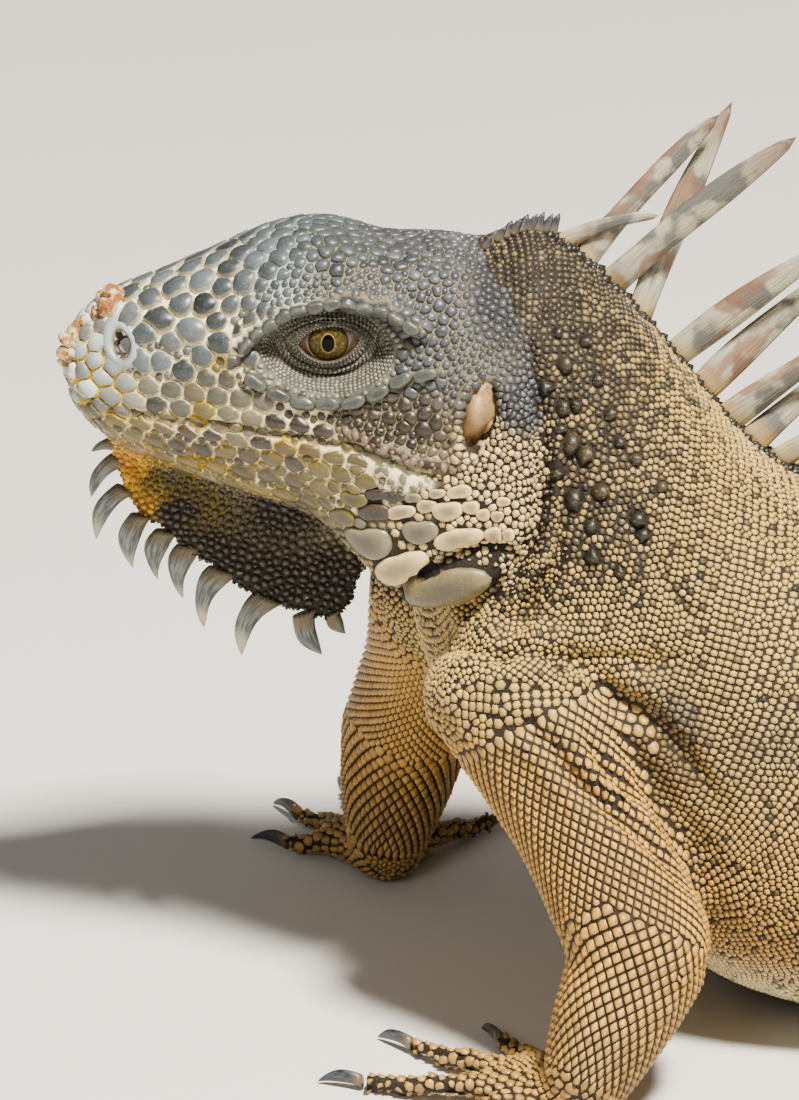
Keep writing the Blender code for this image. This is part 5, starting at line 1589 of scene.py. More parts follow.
# ---------------------------------------------------------------- spines and spikes
# The first spines of the crest, from the nape: root Y and Z, tip Y and Z, the tip's X, half width.
FRONT_SPINES = (
    (-166, 171.5, -146.2, 178, 3, 2.2), (-161.5, 168, -132.5, 197.3, -3, 3),
    (-155.8, 162, -118.4, 195.2, 8, 3.8), (-149, 156, -128.3, 198, -9, 3.3),
    (-141, 146, -105, 172.5, 5, 3.6), (-134.5, 138.5, -100, 165.5, -4, 3.4),
    (-129, 131, -97.5, 154, 6, 3.4), (-123.5, 125.8, -93, 146, -6, 3.2),
    (-117.5, 121, -86, 139.5, 4, 3))
CREST_REST = ((0, 32, 2.7, 34), (0.3, 22, 2.5, 40), (0.65, 13, 2.3, 48), (1, 8, 2.1, 52))
NAPE_SPIKES = 14
TAIL_CREST_END = 0.55
TAIL_CREST_PACE = 9.0
TAIL_CREST_SIZE = (7.0, 2.0)


def spike(bm, grain, root, tip, across, half_width, half_thick, bend, order, rings=12, sides=8, power=0.7):
    """A curved, flattened spike: an eight-sided outline drawn out from its root to a point."""
    root, tip, across = (np.array(v, float) for v in (root, tip, across))
    span = np.linalg.norm(tip - root)
    way = (tip - root) / span
    across = unit(across - way * (across @ way))
    thick = np.cross(way, across)
    turns = 2 * np.pi * np.arange(sides) / sides
    loops = []
    for k in range(rings + 1):
        t = k / (rings + 1)
        centre = root + (tip - root) * t + across * bend * 4 * t * (1 - t)
        width = half_width * (1 - t ** 1.7) ** power * (1 + 0.12 * math.cos(6 * t + order))
        depth = half_thick * (1 - t) ** 0.55
        ring = centre + across * (width * np.cos(turns))[:, None] + thick * (depth * np.sin(turns))[:, None]
        verts = [bm.verts.new(Vector(p) * MM) for p in ring]
        for vert, a in zip(verts, turns):
            vert[grain] = Vector((math.cos(a) * half_width, t * span, order))
        loops.append(verts)
    for low, high in zip(loops, loops[1:]):
        bm.edges.ensure_lookup_table()
        for k in range(sides):
            bm.faces.new((low[k], low[(k + 1) % sides], high[(k + 1) % sides], high[k]))
    peak = bm.verts.new(Vector(tip) * MM)
    peak[grain] = Vector((0.0, span, order))
    for k in range(sides):
        bm.faces.new((loops[-1][k], loops[-1][(k + 1) % sides], peak))
    bm.faces.new(loops[0])


def spiked_piece(name, spikes, replaces=()):
    """One mesh of many spikes; each is (root, tip, across, half width, half thickness, bend)."""
    bm = bmesh.new()
    grain = bm.verts.layers.float_vector.new("grain")
    for order, (root, tip, across, half_width, half_thick, bend, *shape) in enumerate(spikes):
        spike(bm, grain, root, tip, across, half_width, half_thick, bend, order, *shape)
    bmesh.ops.recalc_face_normals(bm, faces=bm.faces)
    return new_piece(name, bm, replaces)


def dorsal(at):
    """The top of the back, at a row of the body's table."""
    row = read(numbered(BODY_SECTIONS), at)[0]
    return np.array((0.0, row[0], row[1]))


def crest_list():
    """Root, tip and size of each spine from the nape to the end of the trunk."""
    spikes = []
    for k in range(NAPE_SPIKES):
        at = 0.1 + 2.3 * k / (NAPE_SPIKES - 1)
        root = dorsal(at) - (0.0, 0.0, 1.2)
        tall = 1.7 + 1.9 * k / NAPE_SPIKES
        tip = root + np.array((0.5 * (-1) ** k, 0.55 * tall, tall + 1.2))
        spikes.append((root, tip, (0, 1, 0), 1.35, 0.85, -0.15, 4, 6))
    for k, (root_y, root_z, tip_y, tip_z, tip_x, half) in enumerate(FRONT_SPINES):
        root, tip = np.array((0.0, root_y, root_z)), np.array((tip_x, tip_y, tip_z))
        root = root - unit(tip - root) * 2.0
        bend = 0.02 * np.linalg.norm(tip - root) * (4.0 if k == 0 else 1.0)
        spikes.append((root, tip, (0, 1, -0.4), half, 1.2, -bend, 16, 10, 0.42))
    at, last = 7.45, 15.7
    order = 0
    while at < last:
        share = (at - 7.45) / (last - 7.45)
        long, half, lean = read(CREST_REST, share)[0]
        way = unit(dorsal(at + 0.02) - dorsal(at))
        out = np.array((0.0, -way[2], way[1]))
        along = out * math.cos(math.radians(lean)) + way * math.sin(math.radians(lean))
        tilt = (7.0, -9.0, 5.0, -6.0, 10.0, -8.0, 2.0)[order % 7] * min(1.0, long / 30.0)
        along = unit(along + np.array((math.tan(math.radians(tilt)), 0.0, 0.0)))
        root = dorsal(at) - along * 2.4
        spikes.append((root, root + along * (long + 2.4), way, half, 0.85, -0.05 * long, 10, 8))
        pace = np.linalg.norm(dorsal(at + 0.1) - dorsal(at)) / 0.1
        at += 2.35 * half / pace
        order += 1
    return spikes


def tail_crest_list():
    """Low teeth along the first half of the tail."""
    spikes = []
    share = 0.004
    while share < TAIL_CREST_END:
        t = share / TAIL_CREST_END
        long = TAIL_CREST_SIZE[0] * (1 - t) + TAIL_CREST_SIZE[1] * t
        root = tail_surface(np.array([share]), np.array([0.25]))[0]
        way = unit(tail_surface(np.array([share + 0.01]), np.array([0.25]))[0] - root)
        tip = root + np.array((0.0, 0.0, long * 0.75)) + way * long * 0.9
        root = root - (0.0, 0.0, 1.4)
        spikes.append((root, tip, way, 2.4 * (1 - 0.4 * t), 0.8, -0.3, 5, 6))
        share += TAIL_CREST_PACE / TAIL_LENGTH
    return spikes


def gular_list():
    """Spikes under the chin, bowed forward."""
    spikes = []
    for y, z, long, lean, half in DEWLAP_SPIKES:
        turn = math.radians(lean)
        down = np.array((0.0, -math.sin(turn), -math.cos(turn)))
        ahead = np.array((0.0, -math.cos(turn), math.sin(turn)))
        root = np.array((0.0, y, z)) - down * 2.0
        tip = root + down * (long + 1.4) - ahead * long * 0.08
        spikes.append((from_head(root), from_head(tip), HEAD_AXES @ ahead, half * 1.3, 1.3,
                       0.17 * long, 12, 10, 0.8))
    return spikes


def claw_list():
    """Each claw bows over from the root of its solid to the tip."""
    spikes, names = [], []
    for kind in ("hand", "foot"):
        for side in ("left", "right"):
            for n in range(1, 6):
                name = f"claw_{kind}_{side}_{n}"
                root, tip = claw_ends(name)
                root = root + unit((root - tip) * (1, 1, 0)) * 0.6
                spikes.append((root, tip + (0, 0, 0.05), (0, 0, 1), 1.75, 1.15, 1.25, 10, 10, 0.75))
                names.append(name)
    return spikes, names


def spine_feet(seeds, spikes):
    """Rings of small cones round the roots of the long spines."""
    for root, tip, across, half, *_ in spikes[NAPE_SPIKES:]:
        turn = (np.arange(10) + 0.5) / 10 * 2 * np.pi
        way = unit(np.array(across, float))
        side = np.array((1.0, 0.0, 0.0))
        for out, big in ((0.5, 0.85), (2.0, 1.0)):
            ring = (root + unit(tip - root) * 2.2 + way * ((half + out) * np.cos(turn))[:, None]
                    + side * ((1.5 + out) * np.sin(turn))[:, None])
            chart = np.stack([np.full(10, (root[1] + 190) / 350), turn / 6.3], axis=1)
            seeds.add("crest_feet", "cone", on_skin(ring, 4.0), np.broadcast_to(way, ring.shape),
                      big, big, 1.1 * big, chart)


# ---------------------------------------------------------------- eyes, ears and nostrils
def make_eye(side, name):
    """The ball with its clear front a little proud, and each point's place on the iris."""
    bm = bmesh.new()
    bmesh.ops.create_uvsphere(bm, u_segments=64, v_segments=48, radius=1.0)
    iris = bm.verts.layers.float_vector.new("iris")
    for vert in bm.verts:
        gaze = vert.co.copy()
        out = 1.0 + 0.035 * max(0.0, (gaze.z - 0.84) / 0.16)
        vert[iris] = Vector((gaze.x, gaze.y, gaze.z)) * EYE_RADIUS
        local = np.array((gaze.z * side, gaze.x, gaze.y)) * EYE_RADIUS * out + EYE_PLACE * (side, 1, 1)
        vert.co = Vector(from_head(local[None])[0]) * MM
    bmesh.ops.recalc_face_normals(bm, faces=bm.faces)
    return new_piece(name, bm, [f"eye_{'left' if side > 0 else 'right'}"])


def make_eye_corners(side, name):
    """The soft lining seen between the ball and the corners of the opening."""
    turns = np.arange(48) / 48
    rings = []
    for share in np.linspace(1.18, 0.3, 12):
        edge = lid_surface(turns, np.full(48, 1.0), side)
        y = LID_MIDDLE[0] + (edge[:, 1] - LID_MIDDLE[0]) * share
        z = LID_MIDDLE[1] + (edge[:, 2] - LID_MIDDLE[1]) * share
        off = np.hypot(y - LID_MIDDLE[0], z - LID_MIDDLE[1])
        x = LID_FRONT - 1.25 - off**2 / LID_FLAT - 0.5 * soft_step(4.0, 7.5, off)
        rings.append(np.column_stack([side * x, y, z]))
    piece = new_piece(name, wrapped(grid_from_head(np.array(rings)), closed=False))
    off = np.abs(to_head(places_of(piece.data))[:, 1] - LID_MIDDLE[0])
    tinted(piece.data, mixed(np.tile(LINING_DARK, (len(off), 1)), LINING_PALE, soft_step(4.6, 6.6, off)))
    return piece


def make_ear(side, name):
    """The ear drum: a thin skin drawn in at its middle, in the hollow behind the cheek."""
    turns = 2 * np.pi * np.arange(40) / 40
    rings = []
    for share in (1.02, 0.94, 0.85, 0.74, 0.6, 0.46, 0.32, 0.18, 0.06):
        across = EAR_SIZE[0] * np.cos(turns) * share
        up = EAR_SIZE[1] * np.sin(turns) * share
        y = EAR_PLACE[1] + across * math.cos(EAR_LEAN) + up * math.sin(EAR_LEAN)
        z = EAR_PLACE[2] - across * math.sin(EAR_LEAN) + up * math.cos(EAR_LEAN)
        x = np.abs(to_head(from_side(np.column_stack([y, z]), side)[0])[:, 0])
        ridge = 0.7 * np.exp(-((across - 0.4) / 0.8) ** 2) * (share < 0.9)
        rings.append(np.column_stack([side * (x + 0.12 + ridge - 0.5 * (share > 0.9)), y, z]))
    return new_piece(name, wrapped(grid_from_head(np.array(rings))),
                     [f"ear_{'left' if side > 0 else 'right'}"])


def make_nostril(side, name):
    """A round raised plate with the opening in its middle."""
    turns = 2 * np.pi * np.arange(36) / 36
    rings = []
    profile = ((4.3, 5.3, -0.6), (4.1, 5.1, 0.4), (3.6, 4.6, 1.0), (2.85, 3.95, 1.2), (2.3, 3.3, 1.0),
               (1.9, 2.85, 0.2), (1.7, 2.6, -0.9), (1.35, 2.1, -2.4), (0.5, 0.9, -3.2))
    for along, up, rise in profile:
        y = NOSTRIL_PLACE[0] + along * np.cos(turns) - 0.12 * up * np.sin(turns)
        z = NOSTRIL_PLACE[1] + up * np.sin(turns)
        place, normal, _ = from_side(np.column_stack([y, z]), side, "whole")
        middle = unit(normal.mean(axis=0))
        rings.append(place + middle * (rise + 3.4 * math.exp(-(along / 1.5) ** 2)))
    piece = new_piece(name, wrapped(np.array(rings)))
    # The plate's middle, down in the opening, is painted dark as the shade in the hole.
    off = off_nostril(to_head(places_of(piece.data)), 2.05, 3.0)
    dark = np.tile(NOSTRIL_PAINTED_SHADE, (len(off), 1))
    tinted(piece.data, mixed(dark, paints("slate_pale"), soft_step(0.82, 1.05, off)))
    return piece


def make_crust(chance):
    """Lumps and flakes of dried, shed skin on the top of the snout."""
    bm = bmesh.new()
    for k in range(46):
        y = (-85.5, -76.0, -84.5, -77.5)[k % 4] + chance.normal(scale=1.2)
        x = 4.0 + chance.normal(scale=2.0)
        place, normal, found = shot(from_head(np.array([[x, y, 60.0]])), np.array([(0.0, 0.0, -1.0)]), 70.0)
        if not found[0]:
            continue
        size_here = 1.0 + 1.7 * chance.random() ** 1.5
        way = unit(normal[0] + chance.normal(scale=0.5, size=3))
        turned = Vector(way).to_track_quat("Z", "Y").to_matrix().to_4x4()
        lump = bmesh.ops.create_icosphere(bm, subdivisions=2, radius=1.0)
        shape = np.array((0.9, 0.7, 0.4 + 1.1 * chance.random() ** 2)) * size_here
        for vert in lump["verts"]:
            rough = 1 + 0.35 * cloud(np.array(vert.co)[None] * 1.3, 1.0, 3.0 * k)[0]
            vert.co = turned @ Vector(np.array(vert.co) * shape * rough)
            vert.co = (vert.co + Vector(place[0] + way * 0.5 * shape[2])) * MM
    return new_piece("nose_crust", bm)


# ---------------------------------------------------------------- materials
INPUT_NAMES = {name.lower().replace(" ", "_"): name for name in (
    "Base Color", "Roughness", "Specular IOR Level", "Coat Weight", "Coat Roughness",
    "Subsurface Weight")}


def sum_of(operation, swap=False):
    """The method that joins a number of the nodes to another, by one kind of sum."""
    def method(self, other):
        node = self.finish.tree.nodes.new("ShaderNodeMath")
        node.operation = operation
        for socket, item in zip(node.inputs, (other, self) if swap else (self, other)):
            self.finish.feed(socket, item)
        return Wire(self.finish, node.outputs[0])

    return method


class Wire:
    """A number in a material's nodes, that sums are written with."""

    def __init__(self, finish, socket):
        self.finish = finish
        self.socket = socket

    __add__ = __radd__ = sum_of("ADD")
    __sub__, __rsub__ = sum_of("SUBTRACT"), sum_of("SUBTRACT", swap=True)
    __mul__ = __rmul__ = sum_of("MULTIPLY")
    __truediv__, __rtruediv__ = sum_of("DIVIDE"), sum_of("DIVIDE", swap=True)
    __pow__ = sum_of("POWER")


class Finish:
    """A material on its way: a Principled shader and the nodes that feed it."""

    def __init__(self, name, **constants):
        self.material = bpy.data.materials.new(name)
        self.material.use_nodes = True
        self.tree = self.material.node_tree
        self.shader = self.tree.nodes["Principled BSDF"]
        for key, value in constants.items():
            self.shader.inputs[INPUT_NAMES[key]].default_value = value

    def feed(self, socket, item):
        if isinstance(item, Wire):
            item = item.socket
        if isinstance(item, bpy.types.NodeSocket):
            self.tree.links.new(item, socket)
        elif hasattr(item, "__len__") and len(item) == 3 and len(socket.default_value) == 4:
            socket.default_value = (*item, 1.0)
        else:
            socket.default_value = item

    def node(self, kind, settings=None, **values):
        made = self.tree.nodes.new(kind)
        for key, value in (settings or {}).items():
            setattr(made, key, value)
        for key, value in values.items():
            self.feed(made.inputs[key.replace("_", " ")], value)
        return made

    def places(self):
        return self.node("ShaderNodeTexCoord").outputs["Object"]

    def attribute(self, name, output="Color"):
        return self.node("ShaderNodeAttribute", {"attribute_name": name}).outputs[output]

    def parts_of(self, vector):
        made = self.node("ShaderNodeSeparateXYZ", Vector=vector)
        return [Wire(self, made.outputs[k]) for k in range(3)]

    def vector(self, x, y, z):
        return self.node("ShaderNodeCombineXYZ", X=x, Y=y, Z=z).outputs["Vector"]

    def noise(self, vector, scale, detail=3.0, twist=0.0):
        made = self.node("ShaderNodeTexNoise", Vector=vector, Scale=scale, Detail=detail, Distortion=twist)
        return Wire(self, made.outputs["Fac"])

    def cells(self, vector, scale, feature="F1"):
        made = self.node("ShaderNodeTexVoronoi", {"feature": feature}, Vector=vector, Scale=scale)
        return Wire(self, made.outputs["Distance"])

    def between(self, value, low, high):
        made = self.node("ShaderNodeMapRange", {"interpolation_type": "SMOOTHSTEP"}, Value=value)
        made.inputs["From Min"].default_value = low
        made.inputs["From Max"].default_value = high
        return Wire(self, made.outputs["Result"])

    def mix(self, share, first, second, way="MIX"):
        made = self.node("ShaderNodeMix", {"data_type": "RGBA", "blend_type": way})
        for key, value in ((0, share), (6, first), (7, second)):
            self.feed(made.inputs[key], value)
        return made.outputs[2]

    def stained(self, colour, *stains):
        """The colour under stains: each is how strong, a number, where it starts and is full, a colour."""
        for strength, value, low, high, stain in stains:
            colour = self.mix(strength * self.between(value, low, high), colour, stain)
        return colour

    def horn(self, across, along, order, scale, detail=4.0):
        """Fibres along a spike, with the places round it and along it in millimetres."""
        parts = self.parts_of(self.attribute("grain", "Vector"))
        drawn = self.vector(*(part * stretch for part, stretch in zip(parts, (across, along, order))))
        return (*parts, self.noise(drawn, scale, detail))

    def shaded(self, colour, amount):
        """The colour made darker or lighter by a number about one."""
        grey = self.vector(amount, amount, amount)
        return self.mix(1.0, colour, grey, "MULTIPLY")

    def bump(self, height, depth, strength=1.0):
        made = self.node("ShaderNodeBump", Height=height, Strength=strength)
        made.inputs["Distance"].default_value = depth
        self.feed(self.shader.inputs["Normal"], made.outputs["Normal"])

    def give(self, **sockets):
        for key, value in sockets.items():
            self.feed(self.shader.inputs[INPUT_NAMES[key]], value)
        return self.material


def scale_finish():
    """Dry horny scales: mottled, a little polished on top."""
    finish = Finish("scale_horn", specular_ior_level=0.45)
    where = finish.places()
    blotch = finish.noise(where, 700.0, 4.0, 0.4)
    grain = finish.noise(where, 3400.0, 2.0)
    colour = finish.shaded(finish.attribute("tint"), 0.62 + 0.5 * blotch + 0.26 * grain)
    colour = finish.stained(colour, (0.22, finish.noise(where, 1500.0, 2.0), 0.62, 0.72, paint("c9b98c")))
    finish.bump(0.6 * grain + 0.8 * blotch, 0.00016, 0.55)
    return finish.give(base_color=colour, roughness=0.26 + 0.3 * blotch)


def plate_finish():
    """The head's plates: glossier, with fine streaks and worn pale edges."""
    finish = Finish("head_plate", specular_ior_level=0.5)
    where = finish.places()
    streak = finish.noise(where, 1900.0, 5.0, 1.2)
    blotch = finish.noise(where, 420.0, 3.0, 0.6)
    colour = finish.shaded(finish.attribute("tint"), 0.58 + 0.45 * blotch + 0.4 * streak)
    colour = finish.stained(colour, (0.14, streak, 0.56, 0.74, paint("cfc9b4")))
    finish.bump(0.5 * streak + 0.5 * blotch, 0.00012, 0.4)
    return finish.give(base_color=colour, roughness=0.2 + 0.34 * blotch)


def skin_finish():
    """The skin between the scales: finely grained and dull."""
    finish = Finish("bare_skin", specular_ior_level=0.3)
    where = finish.places()
    grain = finish.cells(where, 1500.0)
    blotch = finish.noise(where, 260.0, 4.0)
    colour = finish.shaded(finish.attribute("tint"), 0.7 + 0.35 * blotch + 0.3 * grain)
    finish.bump(grain, 0.0002, 0.6)
    return finish.give(base_color=colour, roughness=0.62 + 0.2 * blotch)


def spine_finish():
    """Crest spines: grey horn with lengthwise fibres, stained brown in places."""
    finish = Finish("crest_horn", specular_ior_level=0.45)
    across, along, order, fibre = finish.horn(1.5, 0.09, 3.1, 1.6)
    patch = finish.noise(finish.vector(across * 0.12, along * 0.11, order * 1.7 + 5.0), 1.0, 3.0)
    stain = finish.noise(finish.vector(across * 0.16, along * 0.09, order * 2.3 + 9.0), 1.0, 3.0)
    colour = finish.mix(finish.between(fibre, 0.3, 0.7), paints("spine") * 0.7, paints("spine") * 1.2)
    colour = finish.stained(colour, (0.8, patch, 0.46, 0.58, paint("34393d")),
                            (0.75, stain, 0.52, 0.64, paints("spine_stain")),
                            (0.55, along, 34.0, 46.0, paints("spine_stain") * 0.8),
                            (0.6, along, 7.0, 2.5, paints("bead") * 0.9))
    finish.bump(fibre, 0.0004, 0.7)
    return finish.give(base_color=colour, roughness=0.3 + 0.25 * fibre)


def gular_finish():
    """Spikes under the chin: yellowish at the root, blue-grey, with pale tips."""
    finish = Finish("chin_horn", specular_ior_level=0.45)
    _, along, _, fibre = finish.horn(1.2, 0.2, 2.3, 1.4)
    colour = finish.mix(finish.between(fibre, 0.3, 0.7), paint("34393b"), paint("7d817c"))
    colour = finish.stained(colour, (0.7, along, 4.5, 1.5, paint("574419")),
                            (0.8, along, 8.0, 12.0, paint("b9b197")))
    finish.bump(fibre, 0.0004, 0.8)
    return finish.give(base_color=colour, roughness=0.38 + 0.2 * fibre)


def claw_finish():
    """Claws and the small spikes of the nape: dark horn, browner at the root."""
    finish = Finish("claw_horn", specular_ior_level=0.5)
    _, along, _, fibre = finish.horn(1.4, 0.25, 2.0, 1.6, 3.0)
    colour = finish.mix(finish.between(fibre, 0.3, 0.75), paints("claw") * 0.6, paint("44484d"))
    colour = finish.stained(colour, (0.5, along, 3.0, 0.5, paint("7b6a4c")))
    finish.bump(fibre, 0.0003, 0.7)
    return finish.give(base_color=colour, roughness=0.28 + 0.2 * fibre)


def eye_finish():
    """Iris with a dark rim, a thin gold ring and an upright pupil, under a wet clear front."""
    finish = Finish("eye_ball", coat_weight=0.14, coat_roughness=0.02, specular_ior_level=0.0)
    across, up, _ = finish.parts_of(finish.attribute("iris", "Vector"))
    off = 1.1 * (across * across + up * up) ** 0.5
    pupil = ((across * 1.42) ** 2 + up * up) ** 0.5
    outward = finish.vector(across / (off + 0.2) * 2.0, up / (off + 0.2) * 2.0, off * 0.35)
    ray = finish.noise(outward, 3.2, 5.0)
    fleck = finish.noise(finish.vector(across, up, off), 1.9, 5.0)
    colour = finish.mix(finish.between(ray, 0.3, 0.7), paints("iris") * 0.45, paints("iris") * 1.2)
    # Pale and dark flecks, the iris's brown edge and dark rim, the white, the gold ring, the pupil.
    colour = finish.stained(
        colour, (0.55, fleck, 0.5, 0.66, paint("62572a")), (0.6, fleck, 0.46, 0.36, paint("33260f")),
        (0.75, off, 3.5, 4.2, paint("2b1e0c")), (1.0, off, 4.2, 4.45, paint("1a120a")),
        (1.0, off, 4.5, 4.9, paint("a98262")), (0.8, pupil, 2.15, 2.0, paint("94773a")),
        (1.0, pupil, 1.95, 1.8, paint("030303")))
    return finish.give(base_color=colour, roughness=0.3 + 0.1 * fleck)


def wet_finish():
    """The lining of the eye's corners: moist and veined."""
    finish = Finish("eye_lining", coat_weight=0.6, coat_roughness=0.12)
    vein = finish.noise(finish.places(), 1600.0, 4.0, 0.8)
    colour = finish.shaded(finish.attribute("tint"), 0.6 + 0.8 * vein)
    finish.bump(vein, 0.0002, 0.6)
    return finish.give(base_color=colour, roughness=0.3 + 0.2 * vein)


def ear_finish():
    """A thin tan drum with darker specks and a shaded front."""
    finish = Finish("ear_drum", subsurface_weight=0.25)
    finish.shader.inputs["Subsurface Radius"].default_value = (0.004, 0.002, 0.001)
    where = finish.places()
    speck = finish.noise(where, 900.0, 3.0, 0.5)
    blotch = finish.noise(where, 260.0, 3.0)
    colour = finish.shaded(paints("ear"), 0.65 + 0.7 * blotch)
    colour = finish.stained(colour, (0.6, speck, 0.56, 0.68, paint("5a3a22")))
    finish.bump(blotch, 0.0003, 0.5)
    return finish.give(base_color=colour, roughness=0.35 + 0.2 * blotch)


def crust_finish():
    """Dried skin on the snout: pale flakes over brown."""
    finish = Finish("shed_skin", specular_ior_level=0.3)
    where = finish.places()
    patch = finish.between(finish.noise(where, 500.0, 3.0), 0.42, 0.6)
    colour = finish.mix(patch, paint("8a5622"), paint("cdbb94"))
    grain = finish.noise(where, 2500.0, 4.0)
    finish.bump(grain, 0.0003, 0.8)
    return finish.give(base_color=finish.shaded(colour, 0.7 + 0.5 * grain), roughness=0.7 + 0.2 * grain)


def floor_finish():
    """A pale, dull floor with a faint grain."""
    finish = Finish("pale_floor", roughness=0.85, specular_ior_level=0.2)
    grain = finish.noise(finish.places(), 3.0, 2.0)
    return finish.give(base_color=finish.shaded(paint("d8d5cf"), 0.97 + 0.06 * grain))


def dress_in(finish, *pieces):
    """Gives the pieces one material."""
    for piece in pieces:
        piece.data.materials.clear()
        piece.data.materials.append(finish)


# ---------------------------------------------------------------- the stage
CAMERA_TURN = math.radians(80.0)
CAMERA_RISE = math.radians(22.0)
CAMERA_AWAY = 1.3
CAMERA_AIM = Vector((0.00945, -0.20226, 0.10930))
CAMERA_LENS = 36.0 * 1.3 / 0.231      # the long side takes in 231 mm at the animal's distance
# Lamps: name, place from the point aimed at, watts, width, colour.
LIGHTS = (("key", (0.95, 0.35, 1.9), 205.0, 0.3, (1.0, 0.94, 0.84)),
          ("fill", (1.7, -1.2, 1.3), 9.0, 0.7, (1.0, 0.98, 0.95)))
SKY_COLOUR = (1.0, 0.97, 0.93)
SKY_STRENGTH = 0.19


def make_camera():
    back = Vector((math.sin(CAMERA_TURN) * math.cos(CAMERA_RISE),
                   -math.cos(CAMERA_TURN) * math.cos(CAMERA_RISE), math.sin(CAMERA_RISE)))
    lens = bpy.data.cameras.new("camera")
    lens.lens = CAMERA_LENS
    lens.clip_start = 0.05
    lens.clip_end = 60.0
    camera = bpy.data.objects.new("camera", lens)
    camera.location = CAMERA_AIM + back * CAMERA_AWAY
    camera.rotation_euler = (-back).to_track_quat("-Z", "Y").to_euler()
    bpy.context.scene.collection.objects.link(camera)
    bpy.context.scene.camera = camera


def make_light(name, offset, energy, width, colour):
    lamp = bpy.data.lights.new(name, "AREA")
    lamp.energy = energy
    lamp.size = width
    lamp.color = colour
    light = bpy.data.objects.new(name, lamp)
    light.location = CAMERA_AIM + Vector(offset)
    light.rotation_euler = (-Vector(offset)).to_track_quat("-Z", "Y").to_euler()
    bpy.context.scene.collection.objects.link(light)


def make_floor():
    bm = bmesh.new()
    bmesh.ops.create_grid(bm, x_segments=1, y_segments=1, size=12.0)
    floor = bpy.data.objects.new("floor", mesh_of("floor", bm))
    bpy.context.scene.collection.objects.link(floor)
    dress_in(floor_finish(), floor)


# ---------------------------------------------------------------- operators and panel
class IGUANA_OT_skin(bpy.types.Operator):
    """Makes one skin for head, body, tail and legs, with its folds"""
    bl_idname = "iguana.skin"
    bl_label = "Make skin"

    def execute(self, context):
        make_skin()
        dress_in(skin_finish(), MADE["skin"])
        return {"FINISHED"}


class IGUANA_OT_scales(bpy.types.Operator):
    """Places every scale on the skin and makes the meshes of scales"""
    bl_idname = "iguana.scales"
    bl_label = "Make scales"

    def execute(self, context):
        chance = np.random.default_rng(7)
        seeds = Seeds()
        pinned_plates(seeds)
        fill_head(seeds, chance)
        for side in (1, -1):
            lid_scales(seeds, side)
        tubercle_scales(seeds, chance)
        spine_feet(seeds, crest_list())
        leg_and_arm_scales(seeds)
        tail_scales(seeds)
        trunk_scales(seeds, chance)
        seeds = patched(cleared(thinned(seeds.joined())), chance)
        seeds = charted(dressed(cleared(seeds), chance))
        table = neighbours(seeds)
        tint_skin(seeds)
        body, head = scale_finish(), plate_finish()
        for name in sorted(set(seeds["piece"])):
            mine = np.flatnonzero(seeds["piece"] == name)
            piece = scale_piece(f"scales_{name}", seeds, table, mine)
            dress_in(head if name in ("head", "lids") else body, piece)
        return {"FINISHED"}


class IGUANA_OT_spines(bpy.types.Operator):
    """Makes the crest of back and tail and the spikes under the chin"""
    bl_idname = "iguana.spines"
    bl_label = "Make spines"

    def execute(self, context):
        spikes = crest_list()
        dress_in(claw_finish(), spiked_piece("nape_spikes", spikes[:NAPE_SPIKES]))
        crest = spiked_piece("crest_spines", spikes[NAPE_SPIKES:])
        tail = spiked_piece("tail_crest", tail_crest_list())
        dress_in(spine_finish(), crest, tail)
        dress_in(gular_finish(), spiked_piece("chin_spikes", gular_list()))
        return {"FINISHED"}


class IGUANA_OT_face(bpy.types.Operator):
    """Makes eyes, eyelids, ear drums, nostrils and the shed skin on the snout"""
    bl_idname = "iguana.face"
    bl_label = "Make eyes, ears and nostrils"

    def execute(self, context):
        ball, lining, drum, skin = eye_finish(), wet_finish(), ear_finish(), skin_finish()
        plate = plate_finish()
        for side, name in ((1, "left"), (-1, "right")):
            dress_in(ball, make_eye(side, f"eye_ball_{name}"))
            dress_in(skin, make_lids(side, f"eyelids_{name}"))
            dress_in(lining, make_eye_corners(side, f"eye_lining_{name}"))
            dress_in(drum, make_ear(side, f"ear_drum_{name}"))
            dress_in(plate, make_nostril(side, f"nostril_{name}"))
        dress_in(crust_finish(), make_crust(np.random.default_rng(11)))
        return {"FINISHED"}


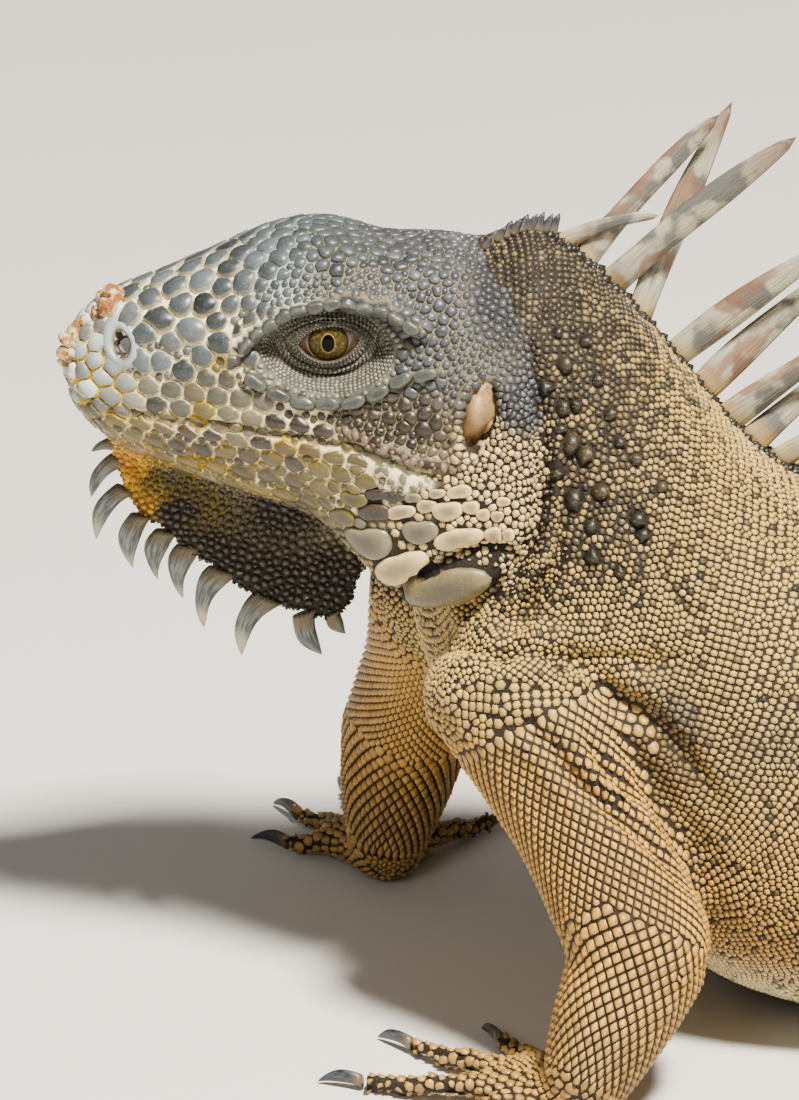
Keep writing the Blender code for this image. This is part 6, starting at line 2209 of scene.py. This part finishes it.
class IGUANA_OT_claws(bpy.types.Operator):
    """Makes the twenty claws"""
    bl_idname = "iguana.claws"
    bl_label = "Make claws"

    def execute(self, context):
        spikes, names = claw_list()
        dress_in(claw_finish(), spiked_piece("claws", spikes, names))
        return {"FINISHED"}


class IGUANA_OT_stage(bpy.types.Operator):
    """Sets the floor, the lights and the camera"""
    bl_idname = "iguana.stage"
    bl_label = "Set the stage"

    def execute(self, context):
        make_camera()
        make_floor()
        for light in LIGHTS:
            make_light(*light)
        world = bpy.data.worlds.new("studio")
        world.use_nodes = True
        sky = world.node_tree.nodes["Background"].inputs
        sky["Color"].default_value = (*SKY_COLOUR, 1.0)
        sky["Strength"].default_value = SKY_STRENGTH
        context.scene.world = world
        return {"FINISHED"}


class IGUANA_PT_panel(bpy.types.Panel):
    bl_label = "Green iguana"
    bl_idname = "IGUANA_PT_panel"
    bl_space_type = "VIEW_3D"
    bl_region_type = "UI"
    bl_category = "Iguana"

    def draw(self, context):
        for operator in OPERATORS:
            self.layout.operator(operator.bl_idname)
        for group in (context.scene.iguana_sizes, context.scene.iguana_paints):
            box = self.layout.box()
            for key in group.__annotations__:
                box.prop(group, key)


OPERATORS = (IGUANA_OT_skin, IGUANA_OT_scales, IGUANA_OT_spines, IGUANA_OT_face, IGUANA_OT_claws,
             IGUANA_OT_stage)
CLASSES = (IguanaPaints, IguanaSizes, *OPERATORS, IGUANA_PT_panel)


def register():
    for kind in CLASSES:
        bpy.utils.register_class(kind)
    bpy.types.Scene.iguana_paints = bpy.props.PointerProperty(type=IguanaPaints)
    bpy.types.Scene.iguana_sizes = bpy.props.PointerProperty(type=IguanaSizes)


def unregister():
    del bpy.types.Scene.iguana_sizes
    del bpy.types.Scene.iguana_paints
    for kind in reversed(CLASSES):
        bpy.utils.unregister_class(kind)


def main():
    register()
    bpy.ops.iguana.skin()
    bpy.ops.iguana.scales()
    bpy.ops.iguana.spines()
    bpy.ops.iguana.face()
    bpy.ops.iguana.claws()
    bpy.ops.iguana.stage()


if __name__ == "__main__":
    main()
